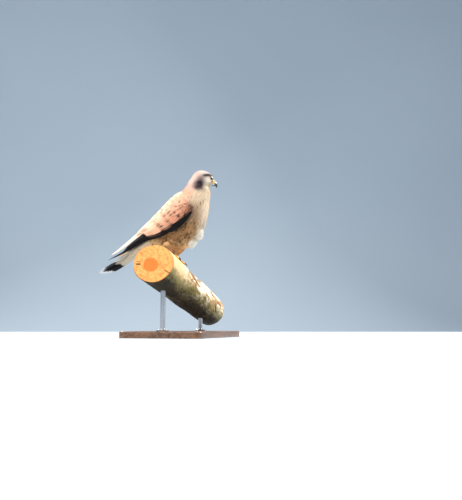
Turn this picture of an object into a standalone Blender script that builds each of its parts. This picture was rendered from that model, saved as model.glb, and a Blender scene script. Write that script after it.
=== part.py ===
"""A male common kestrel, life size, standing on a short cut log that a plain display stand carries.

The bird is modelled in its own frame in millimetres: +X ahead of the breast, +Y to its left, +Z up, with the
origin on the crest of the log between its feet. The log runs along Y there. Every piece is then turned about
Z and moved into the part's frame, in metres, whose origin is the middle of the base's underside.
"""

import math
import random

import bmesh
import bpy
import numpy as np
from mathutils import Matrix, Vector

# Driving dimensions: millimetres and degrees
MM = 0.001
GAP = 0.3
MERGE = 0.002
PERCH_HEIGHT = 165.0
BIRD_TURN = -22.0
BASE_CENTRE_X = 0.0
BASE_CENTRE_Y = 88.0
BASE_LENGTH = 300.0
BASE_WIDTH = 176.0
BASE_THICK = 14.0
BASE_CORNER = 18.0
BASE_EDGE = 3.0
ROD_RADIUS = 5.0
ROD_PLACES = {"front": -34.0, "back": 196.0}
LOG_NEAR = -85.0
LOG_FAR = 262.0
LOG_RADIUS = 40.0
LOG_TAPER = 2.4
LOG_FALL = 13.0
LOG_CUT_TURN = 9.0
LOG_SIDES = 30
BODY_RINGS = 28
BODY_SIDES = 28
HEAD_CENTRE = (71.0, 0.0, 161.0)
HEAD_TURN = 47.0
HEAD_NOD = 12.0
HEAD_SIDES = 26
BILL_ROOT = 21.5
BILL_SIDES = 12
EYE_RADIUS = 6.6
EYE_CENTRE = (10.4, 9.6, 4.2)
EYE_TURN = 62.0
LID_RADIUS = 5.1
TAIL_ROOT = (-22.0, 0.0, 58.0)
TAIL_FALL = 31.6
TAIL_LENGTH = 163.0
TAIL_HALF_TIP = 23.0
TAIL_ROLL = 7.0
FOOT_SPREAD = 17.0
FOOT_ANGLE = math.radians(5.0)
TOE_RADIUS = 2.3

# The body's rings, tail end to neck: back point x, z; belly point x, z; half width
BODY_STATIONS = (
    (-90.0, 23.5, -85.0, 13.0, 6.0),
    (-80.0, 34.0, -70.0, 14.5, 12.0),
    (-67.0, 47.5, -50.0, 16.0, 17.0),
    (-52.0, 63.0, -28.0, 16.0, 22.0),
    (-37.5, 78.5, -6.0, 14.5, 26.0),
    (-22.0, 94.5, 18.0, 13.5, 30.0),
    (-6.0, 109.0, 44.0, 19.5, 32.0),
    (8.0, 121.0, 65.0, 37.0, 32.5),
    (19.0, 131.5, 77.5, 64.0, 31.5),
    (28.5, 141.5, 84.5, 94.0, 28.5),
    (36.5, 150.8, 86.5, 117.0, 24.0),
    (40.5, 160.6, 88.5, 133.0, 21.0),
    (50.5, 168.3, 84.0, 144.5, 13.4),
)
# The head's rings, nape to bill root, in the head's own frame: x, top, bottom, half width
HEAD_STATIONS = (
    (-24.5, -2.0, -12.0, 5.5),
    (-22.3, 6.0, -18.0, 12.0),
    (-15.2, 14.6, -22.5, 17.2),
    (-5.5, 18.6, -24.2, 19.0),
    (3.0, 19.2, -23.0, 18.6),
    (9.5, 18.2, -19.5, 16.6),
    (15.0, 15.0, -14.8, 13.0),
    (19.5, 10.8, -10.6, 9.2),
    (23.0, 7.0, -7.0, 6.2),
)
# The line of the mouth behind the bill, in the head's frame: x, y, z, and its groove's radii
MOUTH_LINE = ((BILL_ROOT + 1.0, 6.6, -2.0), (17.5, 10.6, -2.6), (12.5, 15.0, -4.2))
MOUTH_RADII = (0.75, 0.65, 0.3)
# The cere's and bill's rings along their bend: x, z, slope in degrees, upper half, lower half, half width
CERE_STATIONS = (
    (0.3, 1.6, 0.0, 6.2, 3.3, 6.1),
    (2.0, 1.7, -2.0, 6.0, 3.2, 5.7),
    (4.0, 1.6, -6.0, 5.4, 3.1, 5.2),
    (5.6, 1.3, -10.0, 4.7, 3.0, 4.9),
)
UPPER_BILL_STATIONS = (
    (6.2, 1.1, -12.0, 4.3, 2.9, 4.5),
    (8.0, 0.7, -20.0, 4.0, 2.8, 4.1),
    (9.8, -0.2, -32.0, 3.4, 2.7, 3.5),
    (11.4, -1.6, -48.0, 2.7, 2.3, 2.7),
    (12.5, -3.4, -64.0, 2.0, 1.7, 1.9),
    (13.0, -5.3, -78.0, 1.2, 1.1, 1.1),
    (13.1, -7.0, -86.0, 0.5, 0.45, 0.5),
)
LOWER_BILL_STATIONS = (
    (0.3, -3.6, 0.0, 3.6, 2.6, 4.9),
    (2.8, -3.6, 0.0, 3.5, 2.4, 4.5),
    (5.4, -3.5, 4.0, 3.2, 2.0, 3.8),
    (7.6, -3.2, 7.0, 2.6, 1.5, 2.8),
    (9.0, -2.9, 9.0, 1.8, 0.9, 1.7),
)
# The folded wing's edges, front to tip, on the bird's right: x, y, z of each
WING_UPPER_EDGE = (
    (33.0, -15.0, 138.0),
    (10.0, -14.0, 124.0),
    (-14.0, -10.5, 103.5),
    (-42.0, -6.5, 78.5),
    (-70.0, -4.5, 54.0),
    (-102.0, -6.0, 30.0),
    (-137.0, -12.0, 4.0),
)
WING_LOWER_EDGE = (
    (62.0, -27.0, 103.0),
    (46.0, -36.5, 76.0),
    (18.0, -37.5, 55.0),
    (-12.0, -32.5, 45.0),
    (-46.0, -27.0, 38.0),
    (-89.0, -23.0, 16.0),
    (-137.0, -20.0, -4.5),
)
WING_BULGE = (4.0, 13.0, 14.0, 11.5, 8.0, 5.0, 2.0)
WING_THICKNESS = (10.0, 10.0, 9.0, 7.0, 5.0, 3.0, 1.0)
# Toes: name, turn from straight ahead, length, claw length
TOES = (
    ("hind", 180.0, 12.5, 9.0),
    ("inner", 33.0, 17.0, 8.5),
    ("middle", 2.0, 26.0, 8.0),
    ("outer", -32.0, 19.0, 7.0),
)
CLAW_ROOT_RADIUS = 1.5
# Feathers: how thick a vane is, and its half width from root to tip as a share of its widest
VANE_THICK = 0.6
LONG_SHARES = (0.0, 0.25, 0.6, 0.88, 1.0)
LONG_HALVES = (0.55, 0.92, 1.0, 0.82, 0.24)
SHORT_SHARES = (0.0, 0.35, 0.8, 1.0)
SHORT_HALVES = (0.6, 1.0, 0.8, 0.22)
VANE_LIFT = 1.3
# The folded wing's tiers. Each row: tier, count, first and last root (share, across), first and last tip
# (share, across), half width, root height, tip height
WING_TIERS = (
    ("primary", 7, (0.40, 0.95), (0.47, 0.60), (1.00, 0.66), (0.72, 0.38), 6.4, -4.4, -1.6),
    ("secondary", 4, (0.38, 0.88), (0.40, 0.54), (0.60, 0.94), (0.66, 0.46), 6.0, -4.2, -0.4),
    ("tertial", 3, (0.40, 0.42), (0.38, 0.24), (0.68, 0.34), (0.62, 0.16), 5.6, -3.8, 1.0),
    ("alula", 2, (0.13, 0.95), (0.15, 0.86), (0.36, 0.99), (0.31, 0.92), 3.6, -3.8, 0.4),
    ("greater_covert", 5, (0.28, 0.90), (0.31, 0.38), (0.46, 0.92), (0.47, 0.34), 5.0, -4.0, 1.0),
    ("median_covert", 4, (0.17, 0.86), (0.20, 0.38), (0.33, 0.88), (0.34, 0.36), 5.6, -3.8, 1.2),
    ("lesser_covert", 4, (0.05, 0.80), (0.08, 0.38), (0.22, 0.80), (0.23, 0.36), 6.2, -3.6, 1.4),
    ("long_scapular", 4, (0.24, 0.27), (0.30, 0.06), (0.50, 0.26), (0.54, 0.06), 5.6, -3.8, 1.2),
    ("short_scapular", 3, (0.08, 0.26), (0.15, 0.07), (0.29, 0.24), (0.35, 0.06), 5.8, -3.6, 1.5),
)
WING_CORE_END = 0.60
WING_CORE_DEPTH = 2.6
TAIL_PAIRS = 6
TAIL_VANE_HALF = 6.0
TAIL_STEP_DOWN = 1.1
TAIL_OUTER_SHORTER = 15.0
TAIL_COVERT_HALF = 5.4
TAIL_COVERT_LIFT = 0.9
# Tail coverts. Each row: face, count, reach, height over the tail's middle
TAIL_COVERT_ROWS = ((1.0, 4, 78.0, 2.2), (-1.0, 4, 92.0, -8.2))

COLOURS = {
    "feather_chestnut": (0.50, 0.25, 0.15, 0.85, 0.0),
    "feather_cream": (0.72, 0.58, 0.40, 0.85, 0.0),
    "feather_grey": (0.42, 0.43, 0.47, 0.80, 0.0),
    "cere_yellow": (0.75, 0.62, 0.25, 0.45, 0.0),
    "bill_horn": (0.16, 0.17, 0.20, 0.30, 0.0),
    "eye_dark": (0.03, 0.015, 0.01, 0.05, 0.0),
    "foot_yellow": (0.78, 0.55, 0.15, 0.50, 0.0),
    "claw_black": (0.02, 0.02, 0.02, 0.30, 0.0),
    "log_bark": (0.45, 0.36, 0.27, 0.90, 0.0),
    "stand_wood": (0.30, 0.20, 0.13, 0.50, 0.0),
    "stand_steel": (0.50, 0.50, 0.52, 0.30, 1.0),
}


def clear_scene():
    for obj in list(bpy.data.objects):
        bpy.data.objects.remove(obj, do_unlink=True)


def make_collection(name):
    collection = bpy.data.collections.new(name)
    bpy.context.scene.collection.children.link(collection)
    return collection


def make_material(name):
    red, green, blue, roughness, metallic = COLOURS[name]
    material = bpy.data.materials.new(name)
    material.use_nodes = True
    shader = material.node_tree.nodes["Principled BSDF"]
    shader.inputs["Base Color"].default_value = (red, green, blue, 1.0)
    shader.inputs["Roughness"].default_value = roughness
    shader.inputs["Metallic"].default_value = metallic
    return material


def smooth_rows(rows, count):
    """Rows read evenly along a smooth curve through the given rows, in every column."""
    rows = np.array(rows, float)
    slopes = np.gradient(rows, axis=0)
    places = np.linspace(0.0, len(rows) - 1.0, count)
    first = np.minimum(places.astype(int), len(rows) - 2)
    t = (places - first)[:, None]
    near, far = rows[first], rows[first + 1]
    near_slope, far_slope = slopes[first], slopes[first + 1]
    return (
        near * (1 + 2 * t) * (1 - t) ** 2
        + near_slope * t * (1 - t) ** 2
        + far * t * t * (3 - 2 * t)
        + far_slope * t * t * (t - 1)
    )


def bird_to_part():
    """The bird's frame in millimetres to the part's frame in metres."""
    base_move = Matrix.Translation((-BASE_CENTRE_X, -BASE_CENTRE_Y, PERCH_HEIGHT))
    turn = Matrix.Rotation(math.radians(BIRD_TURN), 4, "Z")
    return turn @ Matrix.Scale(MM, 4) @ base_move


def head_to_bird():
    turn = Matrix.Rotation(math.radians(HEAD_TURN), 4, "Z")
    nod = Matrix.Rotation(math.radians(HEAD_NOD), 4, "Y")
    return Matrix.Translation(HEAD_CENTRE) @ turn @ nod


def put_mesh(name, mesh_builder, collection):
    """An object in the bird's frame, from a bmesh whose faces are turned outwards."""
    bmesh.ops.recalc_face_normals(mesh_builder, faces=mesh_builder.faces[:])
    if mesh_builder.calc_volume(signed=True) < 0:
        bmesh.ops.reverse_faces(mesh_builder, faces=mesh_builder.faces[:])
    mesh = bpy.data.meshes.new(name)
    mesh_builder.to_mesh(mesh)
    mesh_builder.free()
    obj = bpy.data.objects.new(name, mesh)
    collection.objects.link(obj)
    return obj


def loft(rings):
    """A closed bmesh through rings of equal count, with a fan at each end."""
    builder = bmesh.new()
    loops = [[builder.verts.new(point) for point in ring] for ring in rings]
    count = len(loops[0])
    for near, far in zip(loops, loops[1:]):
        for side in range(count):
            after = (side + 1) % count
            builder.faces.new((near[side], near[after], far[after], far[side]))
    for ring, loop in ((rings[0], loops[0]), (rings[-1], loops[-1])):
        middle = builder.verts.new(np.mean(ring, axis=0))
        for side in range(count):
            builder.faces.new((loop[side], loop[(side + 1) % count], middle))
    return builder


def ball(centre, radii, segments=16, rings=10, matrix=None):
    builder = bmesh.new()
    place = Matrix.Translation(centre) @ Matrix.Diagonal((*radii, 1.0))
    if matrix:
        place = matrix @ place
    bmesh.ops.create_uvsphere(builder, u_segments=segments, v_segments=rings, radius=1.0, matrix=place)
    return builder


def rod(start, end, start_radius, end_radius, segments=16):
    start = Vector(start)
    way = Vector(end) - start
    builder = bmesh.new()
    place = Matrix.Translation(start + way / 2) @ way.to_track_quat("Z", "Y").to_matrix().to_4x4()
    bmesh.ops.create_cone(
        builder,
        cap_ends=True,
        segments=segments,
        radius1=start_radius,
        radius2=end_radius,
        depth=way.length,
        matrix=place,
    )
    return builder


def tube(path, radii, segments=8, flat=1.0):
    """A closed tube of changing radius along a path; flat squeezes it across the path's upright."""
    rings = []
    path = [Vector(point) for point in path]
    for index, point in enumerate(path):
        before = path[max(index - 1, 0)]
        after = path[min(index + 1, len(path) - 1)]
        ahead = (after - before).normalized()
        side = ahead.cross(Vector((0.0, 0.0, 1.0)))
        if side.length < 0.05:
            side = ahead.cross(Vector((0.0, 1.0, 0.0)))
        side.normalize()
        up = side.cross(ahead)
        ring = []
        for step in range(segments):
            angle = 2 * math.pi * (step + 0.5) / segments
            offset = side * math.cos(angle) * radii[index] + up * math.sin(angle) * radii[index] * flat
            ring.append(tuple(point + offset))
        rings.append(ring)
    return loft(rings)


def solid_copy(obj, name, collection, grow=0.0):
    """A copy of a mesh object, moved out along its normals by the given amount."""
    builder = bmesh.new()
    builder.from_mesh(obj.data)
    builder.normal_update()
    for vertex in builder.verts:
        vertex.co += vertex.normal * grow
    return put_mesh(name, builder, collection)


def evaluated_mesh(obj):
    bpy.context.view_layer.update()
    graph = bpy.context.evaluated_depsgraph_get()
    return bpy.data.meshes.new_from_object(obj.evaluated_get(graph))


def keep_largest(obj):
    """Leaves only the largest closed surface of an object's mesh."""
    builder = bmesh.new()
    builder.from_mesh(obj.data)
    left = set(builder.faces)
    shells = []
    while left:
        shell = [left.pop()]
        for face in shell:
            for edge in face.edges:
                found = [other for other in edge.link_faces if other in left]
                left.difference_update(found)
                shell.extend(found)
        shells.append(shell)
    shells.sort(key=lambda shell: sum(face.calc_area() for face in shell))
    loose = [face for shell in shells[:-1] for face in shell]
    bmesh.ops.delete(builder, geom=loose, context="FACES")
    bmesh.ops.remove_doubles(builder, verts=builder.verts[:], dist=MERGE)
    bmesh.ops.dissolve_degenerate(builder, edges=builder.edges[:], dist=MERGE / 2)
    builder.to_mesh(obj.data)
    builder.free()


def combine(obj, others, operation, solver="EXACT"):
    """Applies one Boolean between an object and a collection of others, which are then removed."""
    group = bpy.data.collections.new("cutters")
    bpy.context.scene.collection.children.link(group)
    for other in others:
        for holder in list(other.users_collection):
            holder.objects.unlink(other)
        group.objects.link(other)
    modifier = obj.modifiers.new("Boolean", "BOOLEAN")
    modifier.operation = operation
    modifier.operand_type = "COLLECTION"
    modifier.collection = group
    modifier.solver = solver
    mesh = evaluated_mesh(obj)
    obj.modifiers.clear()
    obj.data = mesh
    for other in list(group.objects):
        bpy.data.objects.remove(other, do_unlink=True)
    bpy.data.collections.remove(group)
    keep_largest(obj)
    return obj


def keep_side(obj, point, normal):
    """Cuts a closed mesh by a plane, keeps the side that the normal points to, and closes the cut."""
    builder = bmesh.new()
    builder.from_mesh(obj.data)
    geometry = builder.verts[:] + builder.edges[:] + builder.faces[:]
    found = bmesh.ops.bisect_plane(
        builder,
        geom=geometry,
        dist=0.0001,
        plane_co=Vector(point),
        plane_no=Vector(normal).normalized(),
        clear_inner=True,
        clear_outer=False,
    )
    edges = [item for item in found["geom_cut"] if isinstance(item, bmesh.types.BMEdge)]
    bmesh.ops.triangle_fill(builder, edges=edges, use_beauty=True, use_dissolve=False)
    bmesh.ops.recalc_face_normals(builder, faces=builder.faces[:])
    builder.to_mesh(obj.data)
    builder.free()
    return obj


def part_by_plane(obj, point, normal, front_name, collection):
    """Parts a solid by a thin plane cut; the object keeps the side behind the plane."""
    normal = Vector(normal).normalized()
    point = Vector(point)
    front = solid_copy(obj, front_name, collection)
    keep_side(front, point + normal * (GAP / 2), normal)
    keep_side(obj, point - normal * (GAP / 2), -normal)
    return front


# The log
def log_centre(along):
    """The log's axis at a distance along Y, in the bird's frame."""
    return Vector((0.0, along, -LOG_RADIUS - along * math.tan(math.radians(LOG_FALL))))


def log_radius(along, angle):
    taper = LOG_TAPER * (along - LOG_NEAR) / (LOG_FAR - LOG_NEAR)
    lumps = 0.5 * math.sin(3 * angle + along / 31.0) + 0.35 * math.sin(5 * angle - along / 17.0 + 1.0)
    near_feet = min(1.0, abs(along) / 45.0)
    return LOG_RADIUS - taper + lumps * near_feet


def log_point(along, angle, height=0.0):
    """A point over the bark: angle 0 is the crest, and positive angles go down the front."""
    reach = log_radius(along, angle) + height
    return log_centre(along) + Vector((math.sin(angle) * reach, 0.0, math.cos(angle) * reach))


def make_log(collection):
    rings = []
    spare = 14.0
    steps = 11
    for step in range(steps + 1):
        along = LOG_NEAR - spare + (LOG_FAR - LOG_NEAR + spare) * step / steps
        rings.append([tuple(log_point(along, 2 * math.pi * side / LOG_SIDES)) for side in range(LOG_SIDES)])
    log = put_mesh("perch_log", loft(rings), collection)
    fall = math.radians(LOG_FALL)
    turn = math.radians(LOG_CUT_TURN)
    face = Vector((math.sin(turn), -math.cos(turn) * math.cos(fall), math.cos(turn) * math.sin(fall)))
    keep_side(log, log_centre(LOG_NEAR), -face)
    return log


# The bird's body
def body_ring(row, sides):
    """A closed ring across the body from its back point, belly point and half width."""
    back = Vector((row[0], 0.0, row[1]))
    belly = Vector((row[2], 0.0, row[3]))
    ring = []
    for side in range(sides):
        angle = 2 * math.pi * side / sides
        share = (1 - math.cos(angle)) / 2
        point = back.lerp(belly, share)
        point.y = row[4] * math.sin(angle) * (1.0 + 0.06 * math.sin(angle) ** 2)
        ring.append(tuple(point))
    return ring


def make_trunk(collection):
    rings = [body_ring(row, BODY_SIDES) for row in smooth_rows(BODY_STATIONS, BODY_RINGS)]
    return put_mesh("torso", loft(rings), collection)


# The head
def head_ring(row, sides):
    length, top, bottom, half = row
    middle = (top + bottom) / 2 + 1.0
    ring = []
    for side in range(sides):
        angle = 2 * math.pi * side / sides
        rise = math.cos(angle)
        height = (top - middle) * rise if rise > 0 else (middle - bottom) * rise
        ring.append((length, half * math.sin(angle), middle + height))
    return ring


def eye_frame(mirror):
    """The eye's centre and the way it looks, in the head's frame."""
    centre = Vector((EYE_CENTRE[0], EYE_CENTRE[1] * mirror, EYE_CENTRE[2]))
    turn = math.radians(EYE_TURN)
    look = Vector((math.cos(turn), math.sin(turn) * mirror, 0.06)).normalized()
    return centre, look


def make_head_form(collection):
    """The feathered head with brow ridges, eye sockets and lids, in the bird's frame."""
    rings = [head_ring(row, HEAD_SIDES) for row in smooth_rows(HEAD_STATIONS, 15)]
    head = put_mesh("head", loft(rings), collection)
    keep_side(head, (BILL_ROOT, 0.0, 0.0), (-1.0, 0.0, 0.0))
    added = []
    for mirror in (1.0, -1.0):
        centre, look = eye_frame(mirror)
        brow = Matrix.Translation((9.4, 13.0 * mirror, 9.4)) @ Matrix.Rotation(-0.5 * mirror, 4, "Z")
        added.append(put_mesh("brow", ball((0, 0, 0), (8.0, 3.0, 2.2), 12, 6, brow), collection))
        place = Matrix.Translation(centre + look * 3.9) @ look.to_track_quat("Z", "Y").to_matrix().to_4x4()
        ring = [
            (LID_RADIUS + 0.9 * math.cos(step * math.pi / 2.5), 0.0, 0.9 * math.sin(step * math.pi / 2.5))
            for step in range(5)
        ]
        builder = bmesh.new()
        loop = [builder.verts.new(point) for point in ring]
        edges = [builder.edges.new((loop[i], loop[(i + 1) % 5])) for i in range(5)]
        bmesh.ops.spin(
            builder,
            geom=loop + edges,
            axis=(0, 0, 1),
            cent=(0, 0, 0),
            steps=16,
            angle=2 * math.pi,
            use_merge=True,
        )
        builder.transform(place)
        added.append(put_mesh("lid", builder, collection))
    combine(head, added, "UNION")
    cutters = []
    for mirror in (1.0, -1.0):
        centre, look = eye_frame(mirror)
        cutters.append(put_mesh("socket", eyeball(mirror, GAP), collection))
        opening = rod(centre + look * 2.0, centre + look * 12.0, LID_RADIUS - 0.7, LID_RADIUS + 1.2, 18)
        cutters.append(put_mesh("opening", opening, collection))
        mouth = [(reach, across * mirror, height) for reach, across, height in MOUTH_LINE]
        cutters.append(put_mesh("mouth", tube(mouth, MOUTH_RADII, 6), collection))
    combine(head, cutters, "DIFFERENCE")
    head.data.transform(head_to_bird())
    return head


def eyeball(mirror, grow=0.0):
    centre, look = eye_frame(mirror)
    turn = look.to_track_quat("Z", "Y").to_matrix().to_4x4()
    place = Matrix.Translation(centre) @ turn
    return ball((0, 0, 0), [EYE_RADIUS + grow] * 3, 16, 10, place)


def bend_ring(row, sides):
    """A ring of the cere or bill, square to its bend, in the head's frame."""
    length, height, slope, upper, lower, half = row
    turn = math.radians(slope)
    ring = []
    for side in range(sides):
        angle = 2 * math.pi * side / sides
        rise = math.cos(angle)
        up = (upper if rise > 0 else lower) * rise
        reach = BILL_ROOT + length - math.sin(turn) * up
        ring.append((reach, half * math.sin(angle), height + math.cos(turn) * up))
    return ring


def make_bill(collection):
    pieces = {}
    for name, stations, count in (
        ("cere", CERE_STATIONS, 6),
        ("bill_upper", UPPER_BILL_STATIONS, 12),
        ("bill_lower", LOWER_BILL_STATIONS, 8),
    ):
        rings = [bend_ring(row, BILL_SIDES) for row in smooth_rows(stations, count)]
        pieces[name] = put_mesh(name, loft(rings), collection)
    nostrils = []
    for mirror in (1.0, -1.0):
        start = (BILL_ROOT + 3.4, 7.5 * mirror, 3.9)
        end = (BILL_ROOT + 3.0, 2.6 * mirror, 3.1)
        nostrils.append(put_mesh("nostril", rod(start, end, 0.95, 0.75, 10), collection))
    combine(pieces["cere"], nostrils, "DIFFERENCE")
    mouth_rows = [row[:3] + tuple(size + GAP for size in row[3:]) for row in CERE_STATIONS]
    bill_rows = [row[:3] + tuple(size + GAP for size in row[3:]) for row in UPPER_BILL_STATIONS]
    covers = []
    for rows in (mouth_rows, bill_rows):
        rings = [bend_ring(row, BILL_SIDES) for row in smooth_rows(rows, 10)]
        covers.append(put_mesh("cover", loft(rings), collection))
    combine(pieces["bill_lower"], covers, "DIFFERENCE")
    for piece in pieces.values():
        piece.data.transform(head_to_bird())
    return pieces


# The folded wing
def wing_surface(share, across, height=0.0):
    """A point of the right wing's outer face: share runs front to tip, across runs upper to lower edge."""
    count = len(WING_TABLE[0])
    index = share * (count - 1)
    low = min(int(index), count - 2)
    part = index - low
    upper = Vector(WING_TABLE[0][low]).lerp(Vector(WING_TABLE[0][low + 1]), part)
    lower = Vector(WING_TABLE[1][low]).lerp(Vector(WING_TABLE[1][low + 1]), part)
    bulge = WING_TABLE[2][low][0] * (1 - part) + WING_TABLE[2][low + 1][0] * part
    chord = lower - upper
    ahead = Vector(WING_TABLE[3][low])
    out = chord.cross(ahead).normalized()
    if out.y > 0:
        out = -out
    arch = 1 - (2 * across - 1) ** 2
    return upper + chord * across + out * (bulge * arch + height)


def wing_tables():
    upper = smooth_rows(WING_UPPER_EDGE, 61)
    lower = smooth_rows(WING_LOWER_EDGE, 61)
    bulge = smooth_rows([(value,) for value in WING_BULGE], 61)
    middle = (upper + lower) / 2
    ahead = np.gradient(middle, axis=0)
    return upper, lower, bulge, ahead


def wing_thickness(share):
    return float(np.interp(share * (len(WING_THICKNESS) - 1), range(len(WING_THICKNESS)), WING_THICKNESS))


def vane(points, sides, normals, halves, lifts, thick):
    """A thin closed feather along points, with both faces split into the same triangles."""
    builder = bmesh.new()
    rows = []
    for point, side, normal, half, lift in zip(points, sides, normals, halves, lifts):
        first = point - side * half
        last = point + side * half + normal * lift
        corners = (first, last, last - normal * thick, first - normal * thick)
        rows.append([builder.verts.new(corner) for corner in corners])
    for near, far in zip(rows, rows[1:]):
        builder.faces.new((near[0], near[1], far[1]))
        builder.faces.new((near[0], far[1], far[0]))
        builder.faces.new((near[3], far[2], near[2]))
        builder.faces.new((near[3], far[3], far[2]))
        builder.faces.new((near[1], near[2], far[2]))
        builder.faces.new((near[1], far[2], far[1]))
        builder.faces.new((near[0], far[0], far[3]))
        builder.faces.new((near[0], far[3], near[3]))
    builder.faces.new(rows[0][::-1])
    builder.faces.new(rows[-1])
    return builder


def wing_vane(root, tip, half, root_height, tip_height, long):
    """A vane laid over the wing's surface between two (share, across) places."""
    shares, sizes = (LONG_SHARES, LONG_HALVES) if long else (SHORT_SHARES, SHORT_HALVES)
    points = []
    for share in shares:
        along = root[0] + (tip[0] - root[0]) * share
        across = root[1] + (tip[1] - root[1]) * share
        height = root_height + (tip_height - root_height) * share ** 0.6
        points.append((along, across, height))
    places = [wing_surface(*point) for point in points]
    normals = []
    for along, across, _ in points:
        normals.append((wing_surface(along, across, 1.0) - wing_surface(along, across, 0.0)).normalized())
    sides = []
    for index, normal in enumerate(normals):
        ahead = places[min(index + 1, len(places) - 1)] - places[max(index - 1, 0)]
        sides.append(ahead.cross(normal).normalized() * -1.0)
    halves = [half * size for size in sizes]
    lifts = [VANE_LIFT * size for size in sizes]
    return vane(places, sides, normals, halves, lifts, VANE_THICK)


def wing_core(end_share):
    """The closed body of the right wing under its feathers, from the front to a share of its length."""
    rings = []
    steps = 10
    across_steps = 6
    for step in range(steps + 1):
        share = end_share * step / steps
        depth = wing_thickness(share)
        sunk = WING_CORE_DEPTH * min(1.0, share / 0.06)
        outer = [wing_surface(share, k / across_steps, -sunk) for k in range(across_steps + 1)]
        inner = []
        for k in range(across_steps, -1, -1):
            edge = math.sin(math.pi * k / across_steps)
            thick = 0.5 + (depth - 0.5) * (0.4 + 0.6 * edge)
            inner.append(wing_surface(share, k / across_steps, -sunk - thick))
        rings.append([tuple(point) for point in outer + inner])
    return loft(rings)


def make_wing(side, cutters, collection):
    draw = random.Random(3)
    wing = put_mesh("wing_" + side, wing_core(WING_CORE_END), collection)
    feathers = []
    for tier, count, root_a, root_b, tip_a, tip_b, half, root_height, tip_height in WING_TIERS:
        for index in range(count):
            part = index / (count - 1)
            root = [root_a[k] + (root_b[k] - root_a[k]) * part for k in (0, 1)]
            tip = [tip_a[k] + (tip_b[k] - tip_a[k]) * part for k in (0, 1)]
            if tier == "primary":
                tip[0] -= 0.10 * math.sin(math.pi * part) * part
                tip[1] += 0.16 * math.sin(math.pi * part)
            tip[0] += draw.uniform(-0.006, 0.006)
            raised = tip_height + 0.35 * part
            long = tier in ("primary", "secondary", "tertial")
            builder = wing_vane(root, tip, half * draw.uniform(0.95, 1.05), root_height, raised, long)
            feathers.append(put_mesh(tier, builder, collection))
    combine(wing, feathers, "UNION", "MANIFOLD")
    if side == "left":
        flip(wing)
    combine(wing, [solid_copy(cutter, "cutter", collection) for cutter in cutters], "DIFFERENCE", "MANIFOLD")
    return wing


def flip(obj):
    """Mirrors an object's mesh to the bird's other side."""
    builder = bmesh.new()
    builder.from_mesh(obj.data)
    bmesh.ops.scale(builder, vec=(1.0, -1.0, 1.0), verts=builder.verts[:])
    bmesh.ops.reverse_faces(builder, faces=builder.faces[:])
    builder.to_mesh(obj.data)
    builder.free()


# The tail
def tail_frame():
    """Along the tail from its root, with X back along it, Y across it and Z out of its upper face."""
    fall = Matrix.Rotation(math.radians(180.0 - TAIL_FALL), 4, "Y")
    roll = Matrix.Rotation(math.radians(TAIL_ROLL), 4, "X")
    upright = Matrix.Rotation(math.radians(180.0), 4, "X")
    return Matrix.Translation(TAIL_ROOT) @ fall @ roll @ upright


def tail_vane(pair, mirror):
    """One tail feather in the tail's own frame; pair 0 is the middle pair, on top."""
    draw = random.Random(20 + pair)
    out = 1.6 + pair * (TAIL_HALF_TIP - TAIL_VANE_HALF + 0.8 - 1.6) / (TAIL_PAIRS - 1)
    length = TAIL_LENGTH - TAIL_OUTER_SHORTER * (pair / (TAIL_PAIRS - 1)) ** 1.5 + draw.uniform(-0.8, 0.8)
    drop = -TAIL_STEP_DOWN * (pair + (0.35 if mirror < 0 else 0.0))
    points = []
    for share in LONG_SHARES:
        reach = 6.0 + (length - 6.0) * share
        across = mirror * out * (0.3 + 0.7 * share ** 0.8)
        sag = -2.0 * math.sin(math.pi * share)
        points.append(Vector((reach, across, drop + sag)))
    sides = [Vector((0.0, mirror, 0.0))] * len(points)
    normals = [Vector((0.0, 0.0, 1.0))] * len(points)
    halves = [TAIL_VANE_HALF * size for size in (0.45, 0.65, 0.92, 0.9, 0.25)]
    lifts = [-0.6 * size for size in LONG_HALVES]
    return vane(points, sides, normals, halves, lifts, VANE_THICK)


def tail_covert(index, count, reach, height, face):
    """A covert over or under the tail's root; face is 1 on the upper side and -1 on the lower one."""
    across = (index - (count - 1) / 2) * 7.0
    length = reach - 1.5 * abs(across)
    points = []
    for share in SHORT_SHARES:
        rise = height + face * 1.6 * math.sin(math.pi * share) - face * 2.6 * (1 - share)
        points.append(Vector((34.0 + (length - 34.0) * share, across * (0.8 + 0.2 * share), rise)))
    sides = [Vector((0.0, face, 0.0))] * len(points)
    normals = [Vector((0.0, 0.0, face))] * len(points)
    halves = [TAIL_COVERT_HALF * size for size in SHORT_HALVES]
    lifts = [TAIL_COVERT_LIFT * face] * len(points)
    return vane(points, sides, normals, halves, lifts, VANE_THICK)


def tail_core(end):
    """The tail's fleshy root and its coverts' body, tapering back between the feathers."""
    rings = []
    for step in range(9):
        share = step / 8
        half_across = 15.0 * (1 - 0.45 * share ** 1.5)
        half_up = 6.5 * (1 - share) ** 0.8 + 1.1
        middle = -1.5 - 1.5 * share
        ring = []
        for side in range(16):
            angle = 2 * math.pi * side / 16
            ring.append((end * share, half_across * math.sin(angle), middle + half_up * math.cos(angle)))
        rings.append(ring)
    return loft(rings)


def make_tail_feathers(collection):
    tail = put_mesh("tail_feathers", tail_core(72.0), collection)
    feathers = []
    for pair in range(TAIL_PAIRS):
        for mirror in (1.0, -1.0):
            feathers.append(put_mesh("tail_feather", tail_vane(pair, mirror), collection))
    for face, count, reach, height in TAIL_COVERT_ROWS:
        for index in range(count):
            builder = tail_covert(index, count, reach, height, face)
            feathers.append(put_mesh("tail_covert", builder, collection))
    combine(tail, feathers, "UNION", "MANIFOLD")
    tail.data.transform(tail_frame())
    return tail


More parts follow.
